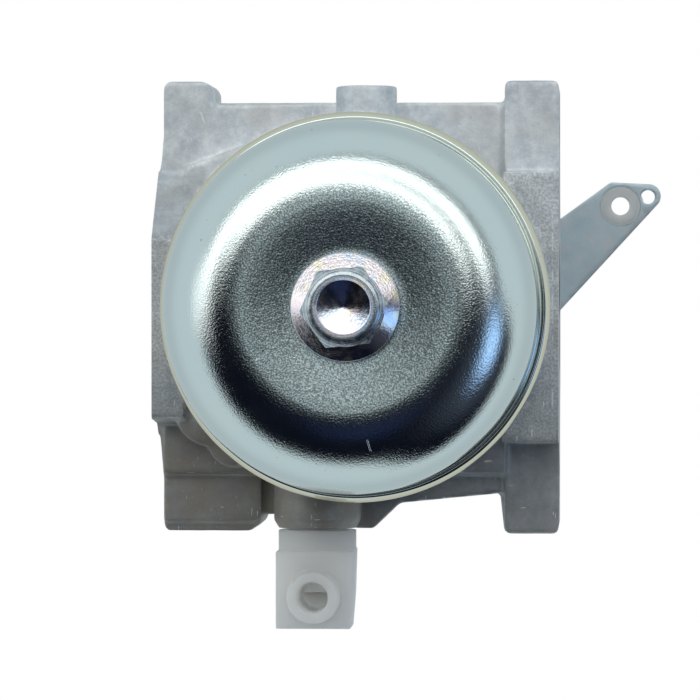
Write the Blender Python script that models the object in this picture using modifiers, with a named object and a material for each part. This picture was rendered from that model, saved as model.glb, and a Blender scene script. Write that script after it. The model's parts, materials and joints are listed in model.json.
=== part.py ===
"""Small-engine float-bowl carburetor, built as separate pieces in one frame.

The sizes below are in millimetres, and the maker functions turn them into metres.
+Z is up, and the float bowl hangs below the body. The bore runs along X. The origin is the
bore's centre on the engine gasket face, and +X points out of that face, so the air comes in
at X = -BODY_LENGTH. The fuel inlet is on the +Y side.
"""

import math

import bmesh
import bpy
from mathutils import Matrix, Vector
from mathutils.geometry import convex_hull_2d

MM = 0.001
GAP = 0.3                     # between faces that touch on the real object
WELD = 0.00001

# Round shapes: the number of sides for large, middle, small and tiny diameters.
LARGE, MIDDLE, SMALL, TINY = 40, 24, 16, 12

# The bore and the body's main sizes.
BODY_LENGTH = 55.4
BARREL_R = 14.5
THROTTLE_BORE_R = 9.0
THROAT_R = 7.5
CHOKE_BORE_R = 11.5
THROTTLE_X = -8.8
BOWL_X = -27.5
CHOKE_X = -43.0

# Flanges: two through bolts hold the body between the engine and the air cleaner.
ENGINE_FLANGE_T = 7.5
AIR_FLANGE_T = 4.6
AIR_FACE_STEP = 0.7           # the ears stand back from the air cleaner face
BLOCK_LOW_Z = -17.0
FLANGE_TOP_Z = 13.3
EAR_HALF_Z = 7.5
EAR_HALF_Y = 31.3
BOLT_Y = 23.5
BOLT_HOLE_R = 3.25
WEB_Z = (-6.2, -3.4)
WEB_ROOT_LOW_Z = -9.2         # the thicker part of the web under the fuel inlet
LOBE_LOW_Z = -15.8
PASSAGE_XZ = (-26.5, -8.5)

# The drum that closes the float bowl, and the chamber inside it.
DRUM_R = 26.2
DRUM_Z = -17.5
REGISTER_R = 23.3
REGISTER_Z = -21.0
CHAMBER_R = 22.0
CEILING_Z = -14.0

# Float bowl.
SHEET_T = 0.8
BOWL_LOW_Z = -40.5
SHOULDER_WIDTH = 11.0
SHOULDER_HEIGHT = 7.5
WALL_R = 24.8
LIP_R = 26.45
LIP_TOP_Z = DRUM_Z - 1.4
BOWL_HOLE_R = 3.2

# Bowl bolt, M6 with a 10 mm hexagon, and the pedestal that it screws into.
SHANK_R = 2.95
HEX_FLATS = 10.0
HEX_TURN = math.radians(-8.2)
BOLT_HEAD_Z = -47.0
BOLT_FLANGE_Z = (-43.4, -42.1)
BOLT_FLANGE_R = 7.2
BOLT_TIP_Z = -31.3
DISH_R = 4.05
DISH_DEPTH = 1.2
PEDESTAL_R = 5.0
PEDESTAL_Z = -39.4
NOZZLE_BORE_R = 2.5
PILOT_XY = (-18.5, -6.0)

# Float, its hinge and the inlet needle.
FLOAT_R = (8.5, 20.5)
FLOAT_Z = (-32.0, -22.5)
HINGE_X = -31.5
HINGE_Y = 18.0
HINGE_Z = -19.0
HINGE_PIN_R = 0.95
POST_OFFSET = 5.5
FLOAT_DROP = math.radians(8.0)    # the float hangs this far below its closed place
NEEDLE_X = -33.2
NEEDLE_Y = 12.0
NEEDLE_R = 2.25
NEEDLE_BORE_R = 2.6

# Fuel inlet.
INLET_Z = -9.5
INLET_BOSS_R = 6.0
INLET_FACE_Y = 30.3
INLET_BORE_R = 4.1
SPIGOT_Y = 39.3
SPIGOT_TIP_Z = -21.6
SPIGOT_BORE_R = 2.15

# Shafts, their towers and levers.
SHAFT_LOW_Z = -12.3
TOWER_TOP_Z = 18.3
SEAL_Z = (18.6, 20.2)
LEVER_Z = (20.6, 22.2)
THROTTLE_SHAFT_R = 2.5
CHOKE_SHAFT_R = 2.2
RUNNING = 0.06                # radial clearance of a shaft in its hole
PLATE_T = 0.8
THROTTLE_PLATE_R = 8.7
CHOKE_PLATE_R = 11.2

# The throttle lever's arm, its nylon bushing and its spring hole.
BUSHING_XY = (8.55, -14.55)
BUSHING_R = 2.7
SPRING_HOLE_XY = (12.5, -15.85)
TAB_X = (-17.8, -14.6)
TAB_Y = (6.7, 8.3)
TAB_LOW_Z = 15.0

# Adjusting screws, both along Y.
IDLE_X, IDLE_Z, IDLE_R = -16.5, 17.0, 1.95
IDLE_BOSS_Y = (-8.0, -3.0)
MIXTURE_X, MIXTURE_Z, MIXTURE_R = -14.5, 7.0, 1.5
MIXTURE_FACE_Y = -17.0

# Colour (linear), roughness and metallic value of each material.
MATERIALS = {
    "cast_aluminium": ((0.36, 0.38, 0.40), 0.55, 0.85),
    "zinc_steel": ((0.62, 0.70, 0.68), 0.22, 1.0),
    "lever_steel": ((0.42, 0.46, 0.46), 0.40, 0.9),
    "bolt_steel": ((0.66, 0.68, 0.70), 0.20, 1.0),
    "brass": ((0.68, 0.48, 0.20), 0.35, 1.0),
    "nylon": ((0.80, 0.79, 0.74), 0.45, 0.0),
    "rubber": ((0.03, 0.03, 0.03), 0.70, 0.0),
    "gasket_paper": ((0.10, 0.11, 0.10), 0.90, 0.0),
    "float_plastic": ((0.06, 0.06, 0.06), 0.60, 0.0),
    "spring_steel": ((0.45, 0.45, 0.46), 0.35, 1.0),
}

PLANES = {
    "XY": Matrix.Identity(4),
    "YZ": Matrix(((0, 0, 1, 0), (1, 0, 0, 0), (0, 1, 0, 0), (0, 0, 0, 1))),
    "XZ": Matrix(((1, 0, 0, 0), (0, 0, -1, 0), (0, 1, 0, 0), (0, 0, 0, 1))),
}
AXES = {"X": Vector((1, 0, 0)), "Y": Vector((0, 1, 0)), "Z": Vector((0, 0, 1))}


# ---------------------------------------------------------------- maker functions

def clear_scene():
    for old in list(bpy.data.objects):
        bpy.data.objects.remove(old, do_unlink=True)


def new_folder(name, parent=None):
    folder = bpy.data.collections.new(name)
    (parent or bpy.context.scene.collection).children.link(folder)
    return folder


def paint(piece, key):
    colour, roughness, metallic = MATERIALS[key]
    finish = bpy.data.materials.new(piece.name)
    finish.use_nodes = True
    shader = finish.node_tree.nodes["Principled BSDF"]
    shader.inputs["Base Color"].default_value = (*colour, 1.0)
    shader.inputs["Roughness"].default_value = roughness
    shader.inputs["Metallic"].default_value = metallic
    piece.data.materials.clear()
    piece.data.materials.append(finish)
    return piece


def place_mesh(name, bm, folder):
    """Make an object of the shape in bm, with its faces out and its round sides smooth."""
    bmesh.ops.remove_doubles(bm, verts=bm.verts, dist=WELD)
    bmesh.ops.recalc_face_normals(bm, faces=bm.faces)
    mesh = bpy.data.meshes.new(name)
    bm.to_mesh(mesh)
    bm.free()
    mesh.shade_smooth()
    mesh.set_sharp_from_angle(angle=math.radians(35))
    piece = bpy.data.objects.new(name, mesh)
    folder.objects.link(piece)
    return piece


def baked(name, source, matrix, folder):
    """Turn a curve, or an object with modifiers, into a welded mesh object."""
    bpy.context.view_layer.update()
    graph = bpy.context.evaluated_depsgraph_get()
    mesh = bpy.data.meshes.new_from_object(source.evaluated_get(graph))
    bpy.data.objects.remove(source, do_unlink=True)
    bm = bmesh.new()
    bm.from_mesh(mesh)
    bm.transform(matrix)
    return place_mesh(name, bm, folder)


def centred(axis, centre, along):
    """The point at a distance along an axis line; centre gives its other two coordinates."""
    point = list(centre)
    point.insert("XYZ".index(axis), along)
    return Vector(point)


def rod(name, axis, centre, span, radius, folder, end_radius=None, sides=MIDDLE):
    """A cylinder, or a cone when end_radius differs, along X, Y or Z from span[0] to span[1]."""
    turn = AXES["Z"].rotation_difference(AXES[axis]).to_matrix().to_4x4()
    middle = centred(axis, centre, (span[0] + span[1]) / 2)
    bm = bmesh.new()
    bmesh.ops.create_cone(
        bm, cap_ends=True, segments=sides, depth=(span[1] - span[0]) * MM,
        radius1=radius * MM, radius2=(radius if end_radius is None else end_radius) * MM,
        matrix=Matrix.Translation(middle * MM) @ turn)
    return place_mesh(name, bm, folder)


def block(name, x, y, z, folder):
    """A box from three (low, high) pairs."""
    low, high = (Vector((x[i], y[i], z[i])) for i in (0, 1))
    bm = bmesh.new()
    bmesh.ops.create_cube(bm, size=MM)
    bmesh.ops.scale(bm, vec=high - low, verts=bm.verts)
    bmesh.ops.translate(bm, vec=(low + high) / 2 * MM, verts=bm.verts)
    return place_mesh(name, bm, folder)


def slab(name, plane, outline, span, folder):
    """A flat outline in the XY, YZ or XZ plane, filled and given its thickness."""
    curve = bpy.data.curves.new(name, "CURVE")
    curve.dimensions = "2D"
    curve.fill_mode = "BOTH"
    curve.extrude = abs(span[1] - span[0]) / 2 * MM
    line = curve.splines.new("POLY")
    line.points.add(len(outline) - 1)
    for point, (u, v) in zip(line.points, outline):
        point.co = (u * MM, v * MM, 0.0, 1.0)
    line.use_cyclic_u = True
    source = bpy.data.objects.new(name, curve)
    folder.objects.link(source)
    normal = PLANES[plane].to_3x3() @ AXES["Z"]
    middle = (span[0] + span[1]) / 2 * MM * Vector([abs(part) for part in normal])
    return baked(name, source, Matrix.Translation(middle) @ PLANES[plane], folder)


def turned(name, axis, centre, profile, folder, steps=MIDDLE):
    """A turned shape. Profile points are (radius, place along the axis), outer side first,
    from the high end to the low end."""
    mesh = bpy.data.meshes.new(name)
    points = [(radius * MM, 0.0, along * MM) for radius, along in profile]
    lines = [(i, i + 1) for i in range(len(points) - 1)]
    if profile[0][0] > 0:
        lines.append((len(points) - 1, 0))
    mesh.from_pydata(points, lines, [])
    source = bpy.data.objects.new(name, mesh)
    folder.objects.link(source)
    screw = source.modifiers.new("turn", "SCREW")
    screw.axis = "Z"
    screw.angle = math.tau
    screw.steps = screw.render_steps = steps
    screw.use_merge_vertices = True
    screw.merge_threshold = WELD
    turn = AXES["Z"].rotation_difference(AXES[axis]).to_matrix().to_4x4()
    base = centred(axis, centre, 0.0) * MM
    return baked(name, source, Matrix.Translation(base) @ turn, folder)


def ring(name, axis, centre, span, inner, outer, folder, steps=MIDDLE):
    low, high = span
    profile = [(outer, high), (outer, low), (inner, low), (inner, high)]
    return turned(name, axis, centre, profile, folder, steps)


def wire(name, route, wire_r, folder):
    """A bent wire through the points of route."""
    curve = bpy.data.curves.new(name, "CURVE")
    curve.dimensions = "3D"
    curve.bevel_depth = wire_r * MM
    curve.bevel_resolution = 2
    curve.use_fill_caps = True
    line = curve.splines.new("POLY")
    line.points.add(len(route) - 1)
    for point, place in zip(line.points, route):
        point.co = (*(Vector(place) * MM), 1.0)
    source = bpy.data.objects.new(name, curve)
    folder.objects.link(source)
    return baked(name, source, Matrix.Identity(4), folder)


def coil(name, centre_xz, span_y, radius, wire_r, turns, folder):
    """A compression spring along Y."""
    per_turn = 10
    count = int(turns * per_turn)
    low, high = span_y[0] + wire_r, span_y[1] - wire_r
    route = []
    for i in range(count + 1):
        angle = math.tau * i / per_turn
        route.append((centre_xz[0] + radius * math.cos(angle), low + (high - low) * i / count,
                      centre_xz[1] + radius * math.sin(angle)))
    return wire(name, route, wire_r, folder)


def circle_points(centre, radius, sides=MIDDLE):
    angles = (math.tau * i / sides for i in range(sides))
    return [(centre[0] + radius * math.cos(a), centre[1] + radius * math.sin(a)) for a in angles]


def hull(*circles):
    """The outline of a band stretched round circles, each ((u, v), radius)."""
    points = [p for centre, radius in circles for p in circle_points(centre, radius)]
    return [points[i] for i in convex_hull_2d(points)]


def combine(target, operation, folder):
    """Join to target, or cut from it, every shape in folder."""
    step = target.modifiers.new(folder.name, "BOOLEAN")
    step.operation = operation
    step.solver = "EXACT"
    step.operand_type = "COLLECTION"
    step.collection = folder
    for tool in folder.objects:
        tool.hide_render = True
        tool.display_type = "WIRE"
    return target


def hang(name, point, pieces, folder):
    """Parent pieces to an empty on their joint's axis."""
    pivot = bpy.data.objects.new(name, None)
    pivot.location = Vector(point) * MM
    folder.objects.link(pivot)
    for piece in pieces:
        piece.parent = pivot
        piece.location -= pivot.location
    return pivot


# ---------------------------------------------------------------- body casting

def mirrored(half):
    """A whole flange outline from its +Y half, listed from the bottom to the top."""
    return half + [(-y, z) for y, z in reversed(half)]


def ear_corners():
    """The +Y ear's outline, from its lower root to the flange's top."""
    return [(EAR_HALF_Y - 0.8, -EAR_HALF_Z), (EAR_HALF_Y, -EAR_HALF_Z + 0.8),
            (EAR_HALF_Y, EAR_HALF_Z - 0.8), (EAR_HALF_Y - 0.8, EAR_HALF_Z),
            (22.5, EAR_HALF_Z), (14.5, 9.8), (10.5, FLANGE_TOP_Z)]


def add_flanges(folder):
    engine_half = [(18.4, BLOCK_LOW_Z), (18.4, -EAR_HALF_Z)] + ear_corners()
    slab("engine_flange", "YZ", mirrored(engine_half), (-ENGINE_FLANGE_T, 0.0), folder)
    draft = [(-8.4, 28.0), (-7.0, 28.0), (-7.0, EAR_HALF_Y - 0.1), (-7.6, EAR_HALF_Y - 0.1)]
    slab("engine_ear_draft", "XY", draft, (-4.4, 4.4), folder)
    air_face, air_back = -BODY_LENGTH, -BODY_LENGTH + AIR_FLANGE_T
    ear_face = air_face + AIR_FACE_STEP
    thick_z = (-EAR_HALF_Z, EAR_HALF_Z)
    far = [(ear_face, -16.0), (ear_face, -30.4), (-54.0, -31.1), (-48.2, -31.1),
           (-46.9, -30.6), (-46.5, -29.8), (-46.5, -16.0)]
    slab("air_ear_far", "XY", far, thick_z, folder)
    near = [(ear_face, 12.0), (-41.05, 12.0), (-41.05, 28.9), (-41.3, 29.85), (-42.6, 30.9),
            (-54.2, 30.9), (ear_face, 30.3)]
    slab("air_ear_near", "XY", near, thick_z, folder)
    middle = [(15.2, BLOCK_LOW_Z), (16.0, -9.4), (21.5, -EAR_HALF_Z + 0.1), (15.4, 9.4),
              (10.5, FLANGE_TOP_Z), (-10.5, FLANGE_TOP_Z), (-16.5, 9.0),
              (-18.5, -EAR_HALF_Z + 0.1), (-9.4, BLOCK_LOW_Z)]
    slab("air_middle", "YZ", middle, (air_face, air_back), folder)
    far_blend = [(air_face + 0.1, -17.6), (-52.0, -17.6), (-52.0, -22.5), (ear_face, -22.5)]
    slab("air_blend_far", "XY", far_blend, (-EAR_HALF_Z + 0.1, EAR_HALF_Z - 0.1), folder)


def add_webs(folder):
    web = [(-52.0, -28.3), (-5.0, -28.3), (-5.0, 25.4), (-22.0, 27.1), (-25.6, 30.6),
           (-28.6, 30.6), (-28.6, 28.7), (-52.0, 28.7)]
    slab("web", "XY", web, WEB_Z, folder)
    ramp = [(-47.0, WEB_Z[0] + 0.5), (-47.0, -EAR_HALF_Z + 0.05), (-34.0, WEB_Z[0]),
            (-34.0, WEB_Z[0] + 0.5)]
    slab("web_ramp", "XZ", ramp, (-28.1, -16.0), folder)
    root = [(-54.6, -17.5), (-7.2, -17.5), (-7.2, 22.9), (-54.6, 22.9)]
    slab("web_root", "XY", root, (WEB_ROOT_LOW_Z, WEB_Z[1] - 0.4), folder)


def add_bosses(folder):
    lobe_z = (LOBE_LOW_Z, WEB_Z[1] - 0.2)
    slab("far_lobe", "XY", hull(((-46.2, -16.2), 5.4), ((-38.5, -21.5), 2.9)), lobe_z, folder)
    slab("near_lobe", "XY", hull(((-47.3, 13.8), 5.2), ((-40.0, 15.0), 5.0)), lobe_z, folder)
    slab("near_post", "XY", hull(((-44.3, 18.2), 3.6), ((-38.0, 17.0), 4.0)), lobe_z, folder)
    rod("passage_boss", "Y", PASSAGE_XZ, (-30.4, -10.0), 4.2, folder)
    rod("inlet_boss", "Y", (NEEDLE_X, INLET_Z), (8.0, INLET_FACE_Y), INLET_BOSS_R, folder)
    rod("throttle_tower", "Z", (THROTTLE_X, 0.0), (5.0, TOWER_TOP_Z), 5.5, folder)
    rod("choke_tower", "Z", (CHOKE_X, 0.0), (5.0, TOWER_TOP_Z), 4.8, folder)
    rod("idle_boss", "Y", (IDLE_X, IDLE_Z), IDLE_BOSS_Y, 3.0, folder)
    block("idle_boss_foot", (IDLE_X - 2.9, IDLE_X + 2.9),
          (IDLE_BOSS_Y[0] + 0.1, IDLE_BOSS_Y[1] - 0.1), (9.0, IDLE_Z), folder)
    rod("mixture_boss", "Y", (MIXTURE_X, MIXTURE_Z), (MIXTURE_FACE_Y, -8.0), 3.6, folder)
    rod("welch_boss", "Z", (BOWL_X, 0.0), (10.0, 15.5), 4.6, folder)


def add_drum(folder):
    rod("drum", "Z", (BOWL_X, 0.0), (DRUM_Z, -8.8), DRUM_R, folder, sides=LARGE)
    rod("register", "Z", (BOWL_X, 0.0), (REGISTER_Z, -16.0), REGISTER_R, folder, sides=LARGE)


def add_inside_chamber(folder):
    root_z = CEILING_Z + 1.0
    rod("pedestal", "Z", (BOWL_X, 0.0), (PEDESTAL_Z, root_z), PEDESTAL_R, folder)
    rod("needle_guide", "Z", (NEEDLE_X, NEEDLE_Y), (-17.5, root_z), 4.2, folder)
    rod("pilot_boss", "Z", PILOT_XY, (-19.5, root_z), 3.2, folder, sides=SMALL)
    for name, side in (("post_left", -1), ("post_right", 1)):
        x = HINGE_X + side * POST_OFFSET
        block(name, (x - 1.0, x + 1.0), (HINGE_Y - 2.0, HINGE_Y + 2.0), (-20.8, root_z), folder)


def cut_bore(folder):
    past = 1.0
    profile = [(0.0, past), (THROTTLE_BORE_R, past), (THROTTLE_BORE_R, -22.0),
               (THROAT_R, -26.0), (THROAT_R, -30.0), (CHOKE_BORE_R, -40.0),
               (CHOKE_BORE_R, -BODY_LENGTH - past), (0.0, -BODY_LENGTH - past)]
    turned("bore", "X", (0.0, 0.0), profile, folder, steps=LARGE)


def cut_bolt_holes(folder):
    for name, side in (("bolt_hole_far", -1), ("bolt_hole_near", 1)):
        rod(name, "X", (side * BOLT_Y, 0.0), (-BODY_LENGTH - 1.0, 1.0), BOLT_HOLE_R, folder,
            sides=SMALL)


def cut_shaft_holes(folder):
    span = (SHAFT_LOW_Z - 0.4, TOWER_TOP_Z + 1.0)
    rod("throttle_hole", "Z", (THROTTLE_X, 0.0), span, THROTTLE_SHAFT_R + RUNNING, folder)
    rod("choke_hole", "Z", (CHOKE_X, 0.0), span, CHOKE_SHAFT_R + RUNNING, folder)


def cut_fuel_ways(folder):
    low = PEDESTAL_Z - 1.0
    rod("bolt_thread", "Z", (BOWL_X, 0.0), (low, BOLT_TIP_Z + 0.3), SHANK_R + 0.1, folder,
        sides=SMALL)
    rod("nozzle_bore", "Z", (BOWL_X, 0.0), (low, -6.0), NOZZLE_BORE_R, folder, sides=SMALL)
    rod("pedestal_cross", "Y", (BOWL_X, -29.0), (-6.0, 6.0), 1.2, folder, sides=TINY)
    rod("pilot_bore", "Z", PILOT_XY, (-20.5, -14.5), 1.9, folder, sides=SMALL)
    rod("pilot_way", "Z", PILOT_XY, (-15.0, -5.0), 0.7, folder, sides=TINY)
    rod("bowl_vent", "Z", (-46.0, -4.0), (-15.0, -9.5), 1.0, folder, sides=TINY)
    rod("needle_bore", "Z", (NEEDLE_X, NEEDLE_Y), (-18.5, -11.0), NEEDLE_BORE_R, folder,
        sides=SMALL)
    rod("seat_way", "Z", (NEEDLE_X, NEEDLE_Y), (-11.5, INLET_Z), 1.1, folder, sides=TINY)
    rod("inlet_way", "Y", (NEEDLE_X, INLET_Z), (10.6, 24.0), 1.5, folder, sides=TINY)
    rod("inlet_bore", "Y", (NEEDLE_X, INLET_Z), (22.2, INLET_FACE_Y + 1.0), INLET_BORE_R, folder)


def cut_small_holes(folder):
    rod("hinge_hole", "X", (HINGE_Y, HINGE_Z), (HINGE_X - 8.0, HINGE_X + 8.0),
        HINGE_PIN_R + 0.1, folder, sides=SMALL)
    rod("passage_hole", "Y", PASSAGE_XZ, (-31.0, -24.0), 2.0, folder, sides=SMALL)
    rod("idle_hole", "Y", (IDLE_X, IDLE_Z), (-9.0, -2.0), IDLE_R + RUNNING, folder, sides=SMALL)
    rod("mixture_hole", "Y", (MIXTURE_X, MIXTURE_Z), (MIXTURE_FACE_Y - 1.0, -9.0),
        MIXTURE_R + RUNNING, folder, sides=SMALL)
    rod("mixture_way", "Y", (MIXTURE_X, MIXTURE_Z), (-9.5, -4.0), 0.6, folder, sides=TINY)
    rod("welch_pocket", "Z", (BOWL_X, 0.0), (13.6, 16.5), 3.6, folder, sides=SMALL)


def make_body(parts, tools):
    casting = rod("body_casting", "X", (0.0, 0.0), (-BODY_LENGTH + 1.0, -1.0), BARREL_R, parts,
                  sides=LARGE)
    outside = new_folder("casting_outside", tools)
    add_flanges(outside)
    add_webs(outside)
    add_bosses(outside)
    add_drum(outside)
    chamber = new_folder("casting_chamber", tools)
    rod("chamber", "Z", (BOWL_X, 0.0), (REGISTER_Z - 1.0, CEILING_Z), CHAMBER_R, chamber,
        sides=LARGE)
    inside = new_folder("casting_inside", tools)
    add_inside_chamber(inside)
    holes = new_folder("casting_holes", tools)
    cut_bore(holes)
    cut_bolt_holes(holes)
    cut_shaft_holes(holes)
    cut_fuel_ways(holes)
    cut_small_holes(holes)
    combine(casting, "UNION", outside)
    combine(casting, "DIFFERENCE", chamber)
    combine(casting, "UNION", inside)
    combine(casting, "DIFFERENCE", holes)
    paint(casting, "cast_aluminium")


# ---------------------------------------------------------------- float bowl and its bolt

def shoulder(inset, steps):
    """Points round the bowl's oval shoulder, from its wall down to its flat bottom."""
    centre_r, centre_z = WALL_R - SHOULDER_WIDTH, BOWL_LOW_Z + SHOULDER_HEIGHT
    width, height = SHOULDER_WIDTH - inset, SHOULDER_HEIGHT - inset
    angles = (math.pi / 2 * i / steps for i in range(steps + 1))
    return [(centre_r + width * math.cos(a), centre_z - height * math.sin(a)) for a in angles]


def make_bowl(parts):
    inner_r = WALL_R - SHEET_T
    outer = [(26.0, LIP_TOP_Z), (LIP_R, -19.4), (LIP_R, -20.6), (25.9, -21.2), (25.1, -21.7),
             (WALL_R, -22.6)]
    outer += shoulder(0.0, 7) + [(BOWL_HOLE_R, BOWL_LOW_Z)]
    inner = [(BOWL_HOLE_R, BOWL_LOW_Z + SHEET_T)] + shoulder(SHEET_T, 7)[::-1]
    inner += [(inner_r, -22.2), (inner_r + 0.7, LIP_TOP_Z)]
    paint(turned("float_bowl", "Z", (BOWL_X, 0.0), outer + inner, parts, LARGE), "zinc_steel")
    gasket = ring("bowl_gasket", "Z", (BOWL_X, 0.0), (LIP_TOP_Z + GAP, DRUM_Z - GAP),
                  REGISTER_R + 0.7, 25.8, parts, LARGE)
    paint(gasket, "gasket_paper")


def make_bolt(parts, tools):
    low, high = BOLT_FLANGE_Z
    profile = [(0.0, BOLT_TIP_Z), (SHANK_R - 0.5, BOLT_TIP_Z), (SHANK_R, BOLT_TIP_Z - 0.6),
               (SHANK_R, high), (BOLT_FLANGE_R, high - 0.2), (BOLT_FLANGE_R, low + 0.5),
               (5.6, low - 0.3), (0.0, low - 0.3)]
    bolt = turned("bowl_bolt", "Z", (BOWL_X, 0.0), profile, parts, MIDDLE)
    hexagon = new_folder("bolt_hexagon", tools)
    corner_r = HEX_FLATS / 2 / math.cos(math.pi / 6)
    corners = [(BOWL_X + corner_r * math.cos(HEX_TURN + math.pi / 3 * i),
                corner_r * math.sin(HEX_TURN + math.pi / 3 * i)) for i in range(6)]
    slab("hexagon", "XY", corners, (BOLT_HEAD_Z, low + 0.4), hexagon)
    dish = new_folder("bolt_dish", tools)
    rod("dish", "Z", (BOWL_X, 0.0), (BOLT_HEAD_Z - 0.4, BOLT_HEAD_Z + DISH_DEPTH),
        DISH_R * (DISH_DEPTH + 0.4) / DISH_DEPTH, dish, end_radius=0.3)
    combine(bolt, "UNION", hexagon)
    combine(bolt, "DIFFERENCE", dish)
    paint(bolt, "bolt_steel")
    washer = ring("bolt_washer", "Z", (BOWL_X, 0.0), (high + GAP, BOWL_LOW_Z - GAP),
                  BOWL_HOLE_R, 6.5, parts)
    paint(washer, "gasket_paper")


# ---------------------------------------------------------------- jets, needle and float

def make_jets(parts):
    main_jet = ring("main_jet", "Z", (BOWL_X, 0.0), (-27.0, -23.0), 0.6, 2.4, parts, SMALL)
    paint(main_jet, "brass")
    profile = [(1.7, -3.0), (1.7, -8.2), (2.4, -8.2), (2.4, -22.7), (0.7, -22.7), (0.7, -3.0)]
    nozzle = turned("main_nozzle", "Z", (BOWL_X, 0.0), profile, parts, SMALL)
    paint(nozzle, "brass")
    pilot = ring("pilot_jet", "Z", PILOT_XY, (-20.0, -14.8), 0.4, 1.8, parts, SMALL)
    paint(pilot, "brass")


def make_needle(parts):
    axis = (NEEDLE_X, NEEDLE_Y)
    profile = [(0.0, -11.8), (0.5, -12.1), (NEEDLE_R, -14.2), (NEEDLE_R, -17.9), (1.0, -17.9),
               (1.0, -18.6), (0.0, -18.6)]
    needle = paint(turned("inlet_needle", "Z", axis, profile, parts, SMALL), "brass")
    seat = ring("needle_seat", "Z", axis, (-12.6, -11.3), 1.0, 2.5, parts, SMALL)
    paint(seat, "rubber")
    hook_x = NEEDLE_X
    route = [(hook_x, 10.9, -18.75), (hook_x, 9.4, -18.75), (hook_x, 8.9, -19.4),
             (hook_x, 9.2, -20.3), (hook_x, 9.75, -20.3)]
    clip = paint(wire("needle_clip", route, 0.2, parts), "spring_steel")
    slide = hang("needle_axis", (NEEDLE_X, NEEDLE_Y, -18.6), (needle, clip), parts)
    slide.location.z -= (HINGE_Y - NEEDLE_Y) * FLOAT_DROP * MM


def make_float(parts, tools):
    low, high = FLOAT_Z
    inner, outer = FLOAT_R
    profile = [(outer - 0.8, high), (outer, high - 0.8), (outer, low + 3.0), (outer - 3.0, low),
               (inner + 1.0, low), (inner, low + 1.0), (inner, high - 1.0), (inner + 1.0, high)]
    body = turned("float", "Z", (BOWL_X, 0.0), profile, parts, MIDDLE)
    paint(body, "float_plastic")
    sheet = 0.8
    arm_x = (HINGE_X - 4.0, HINGE_X + 4.0)
    arm = rod("float_arm", "X", (HINGE_Y, HINGE_Z), arm_x, 1.7, parts, sides=SMALL)
    strips = new_folder("arm_strips", tools)
    inset = (arm_x[0] + 0.1, arm_x[1] - 0.1)
    block("tongue", inset, (9.9, HINGE_Y), (-19.8, -19.0), strips)
    block("riser", (arm_x[0] + 1.0, arm_x[1] - 1.0), (10.0, 10.0 + sheet), (-22.1, -19.1), strips)
    block("cross_bar", (-41.0, -20.0), (8.2, 12.5), (-22.2, -22.2 + sheet), strips)
    holes = new_folder("arm_holes", tools)
    rod("pin_hole", "X", (HINGE_Y, HINGE_Z), (arm_x[0] - 1.0, arm_x[1] + 1.0),
        HINGE_PIN_R + RUNNING, holes, sides=SMALL)
    combine(arm, "UNION", strips)
    combine(arm, "DIFFERENCE", holes)
    paint(arm, "spring_steel")
    pin = rod("float_hinge_pin", "X", (HINGE_Y, HINGE_Z),
              (HINGE_X - POST_OFFSET - 1.4, HINGE_X + POST_OFFSET + 1.4), HINGE_PIN_R, parts,
              sides=SMALL)
    paint(pin, "spring_steel")
    pieces = (body, arm, *strips.objects, *holes.objects)
    hinge = hang("float_axis", (HINGE_X, HINGE_Y, HINGE_Z), pieces, parts)
    hinge.rotation_euler.x = FLOAT_DROP


# ---------------------------------------------------------------- fuel inlet

def make_inlet(parts, tools):
    axis = (NEEDLE_X, INLET_Z)
    side = [(33.3, -15.5), (43.9, -15.5), (43.9, -8.0), (39.5, -3.5), (33.3, -3.5)]
    elbow = slab("fuel_inlet_elbow", "YZ", side, (-38.4, -27.75), parts)
    additions = new_folder("elbow_additions", tools)
    rod("plug", "Y", axis, (24.6, 33.5), INLET_BORE_R - 0.1, additions)
    rod("collar", "Y", axis, (INLET_FACE_Y + GAP, 33.8), 5.35, additions)
    barbs = [(0.0, -14.5), (3.8, -14.5), (3.8, -16.0), (3.0, -16.3), (3.0, -18.9),
             (3.65, -18.9), (3.2, SPIGOT_TIP_Z), (0.0, SPIGOT_TIP_Z)]
    turned("spigot", "Z", (NEEDLE_X, SPIGOT_Y), barbs, additions, MIDDLE)
    ways = new_folder("elbow_ways", tools)
    rod("plug_way", "Y", axis, (24.0, SPIGOT_Y), 1.8, ways, sides=SMALL)
    rod("spigot_way", "Z", (NEEDLE_X, SPIGOT_Y), (SPIGOT_TIP_Z - 0.5, INLET_Z), SPIGOT_BORE_R, ways,
        sides=SMALL)
    combine(elbow, "UNION", additions)
    combine(elbow, "DIFFERENCE", ways)
    paint(elbow, "nylon")
    seal = ring("inlet_o_ring", "Y", axis, (22.5, 24.3), 2.3, INLET_BORE_R - 0.1, parts, SMALL)
    paint(seal, "rubber")


# ---------------------------------------------------------------- throttle

def lever_hole(name, centre, radius, folder):
    rod(name, "Z", centre, (LEVER_Z[0] - 1.0, LEVER_Z[1] + 1.0), radius, folder, sides=SMALL)


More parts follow.
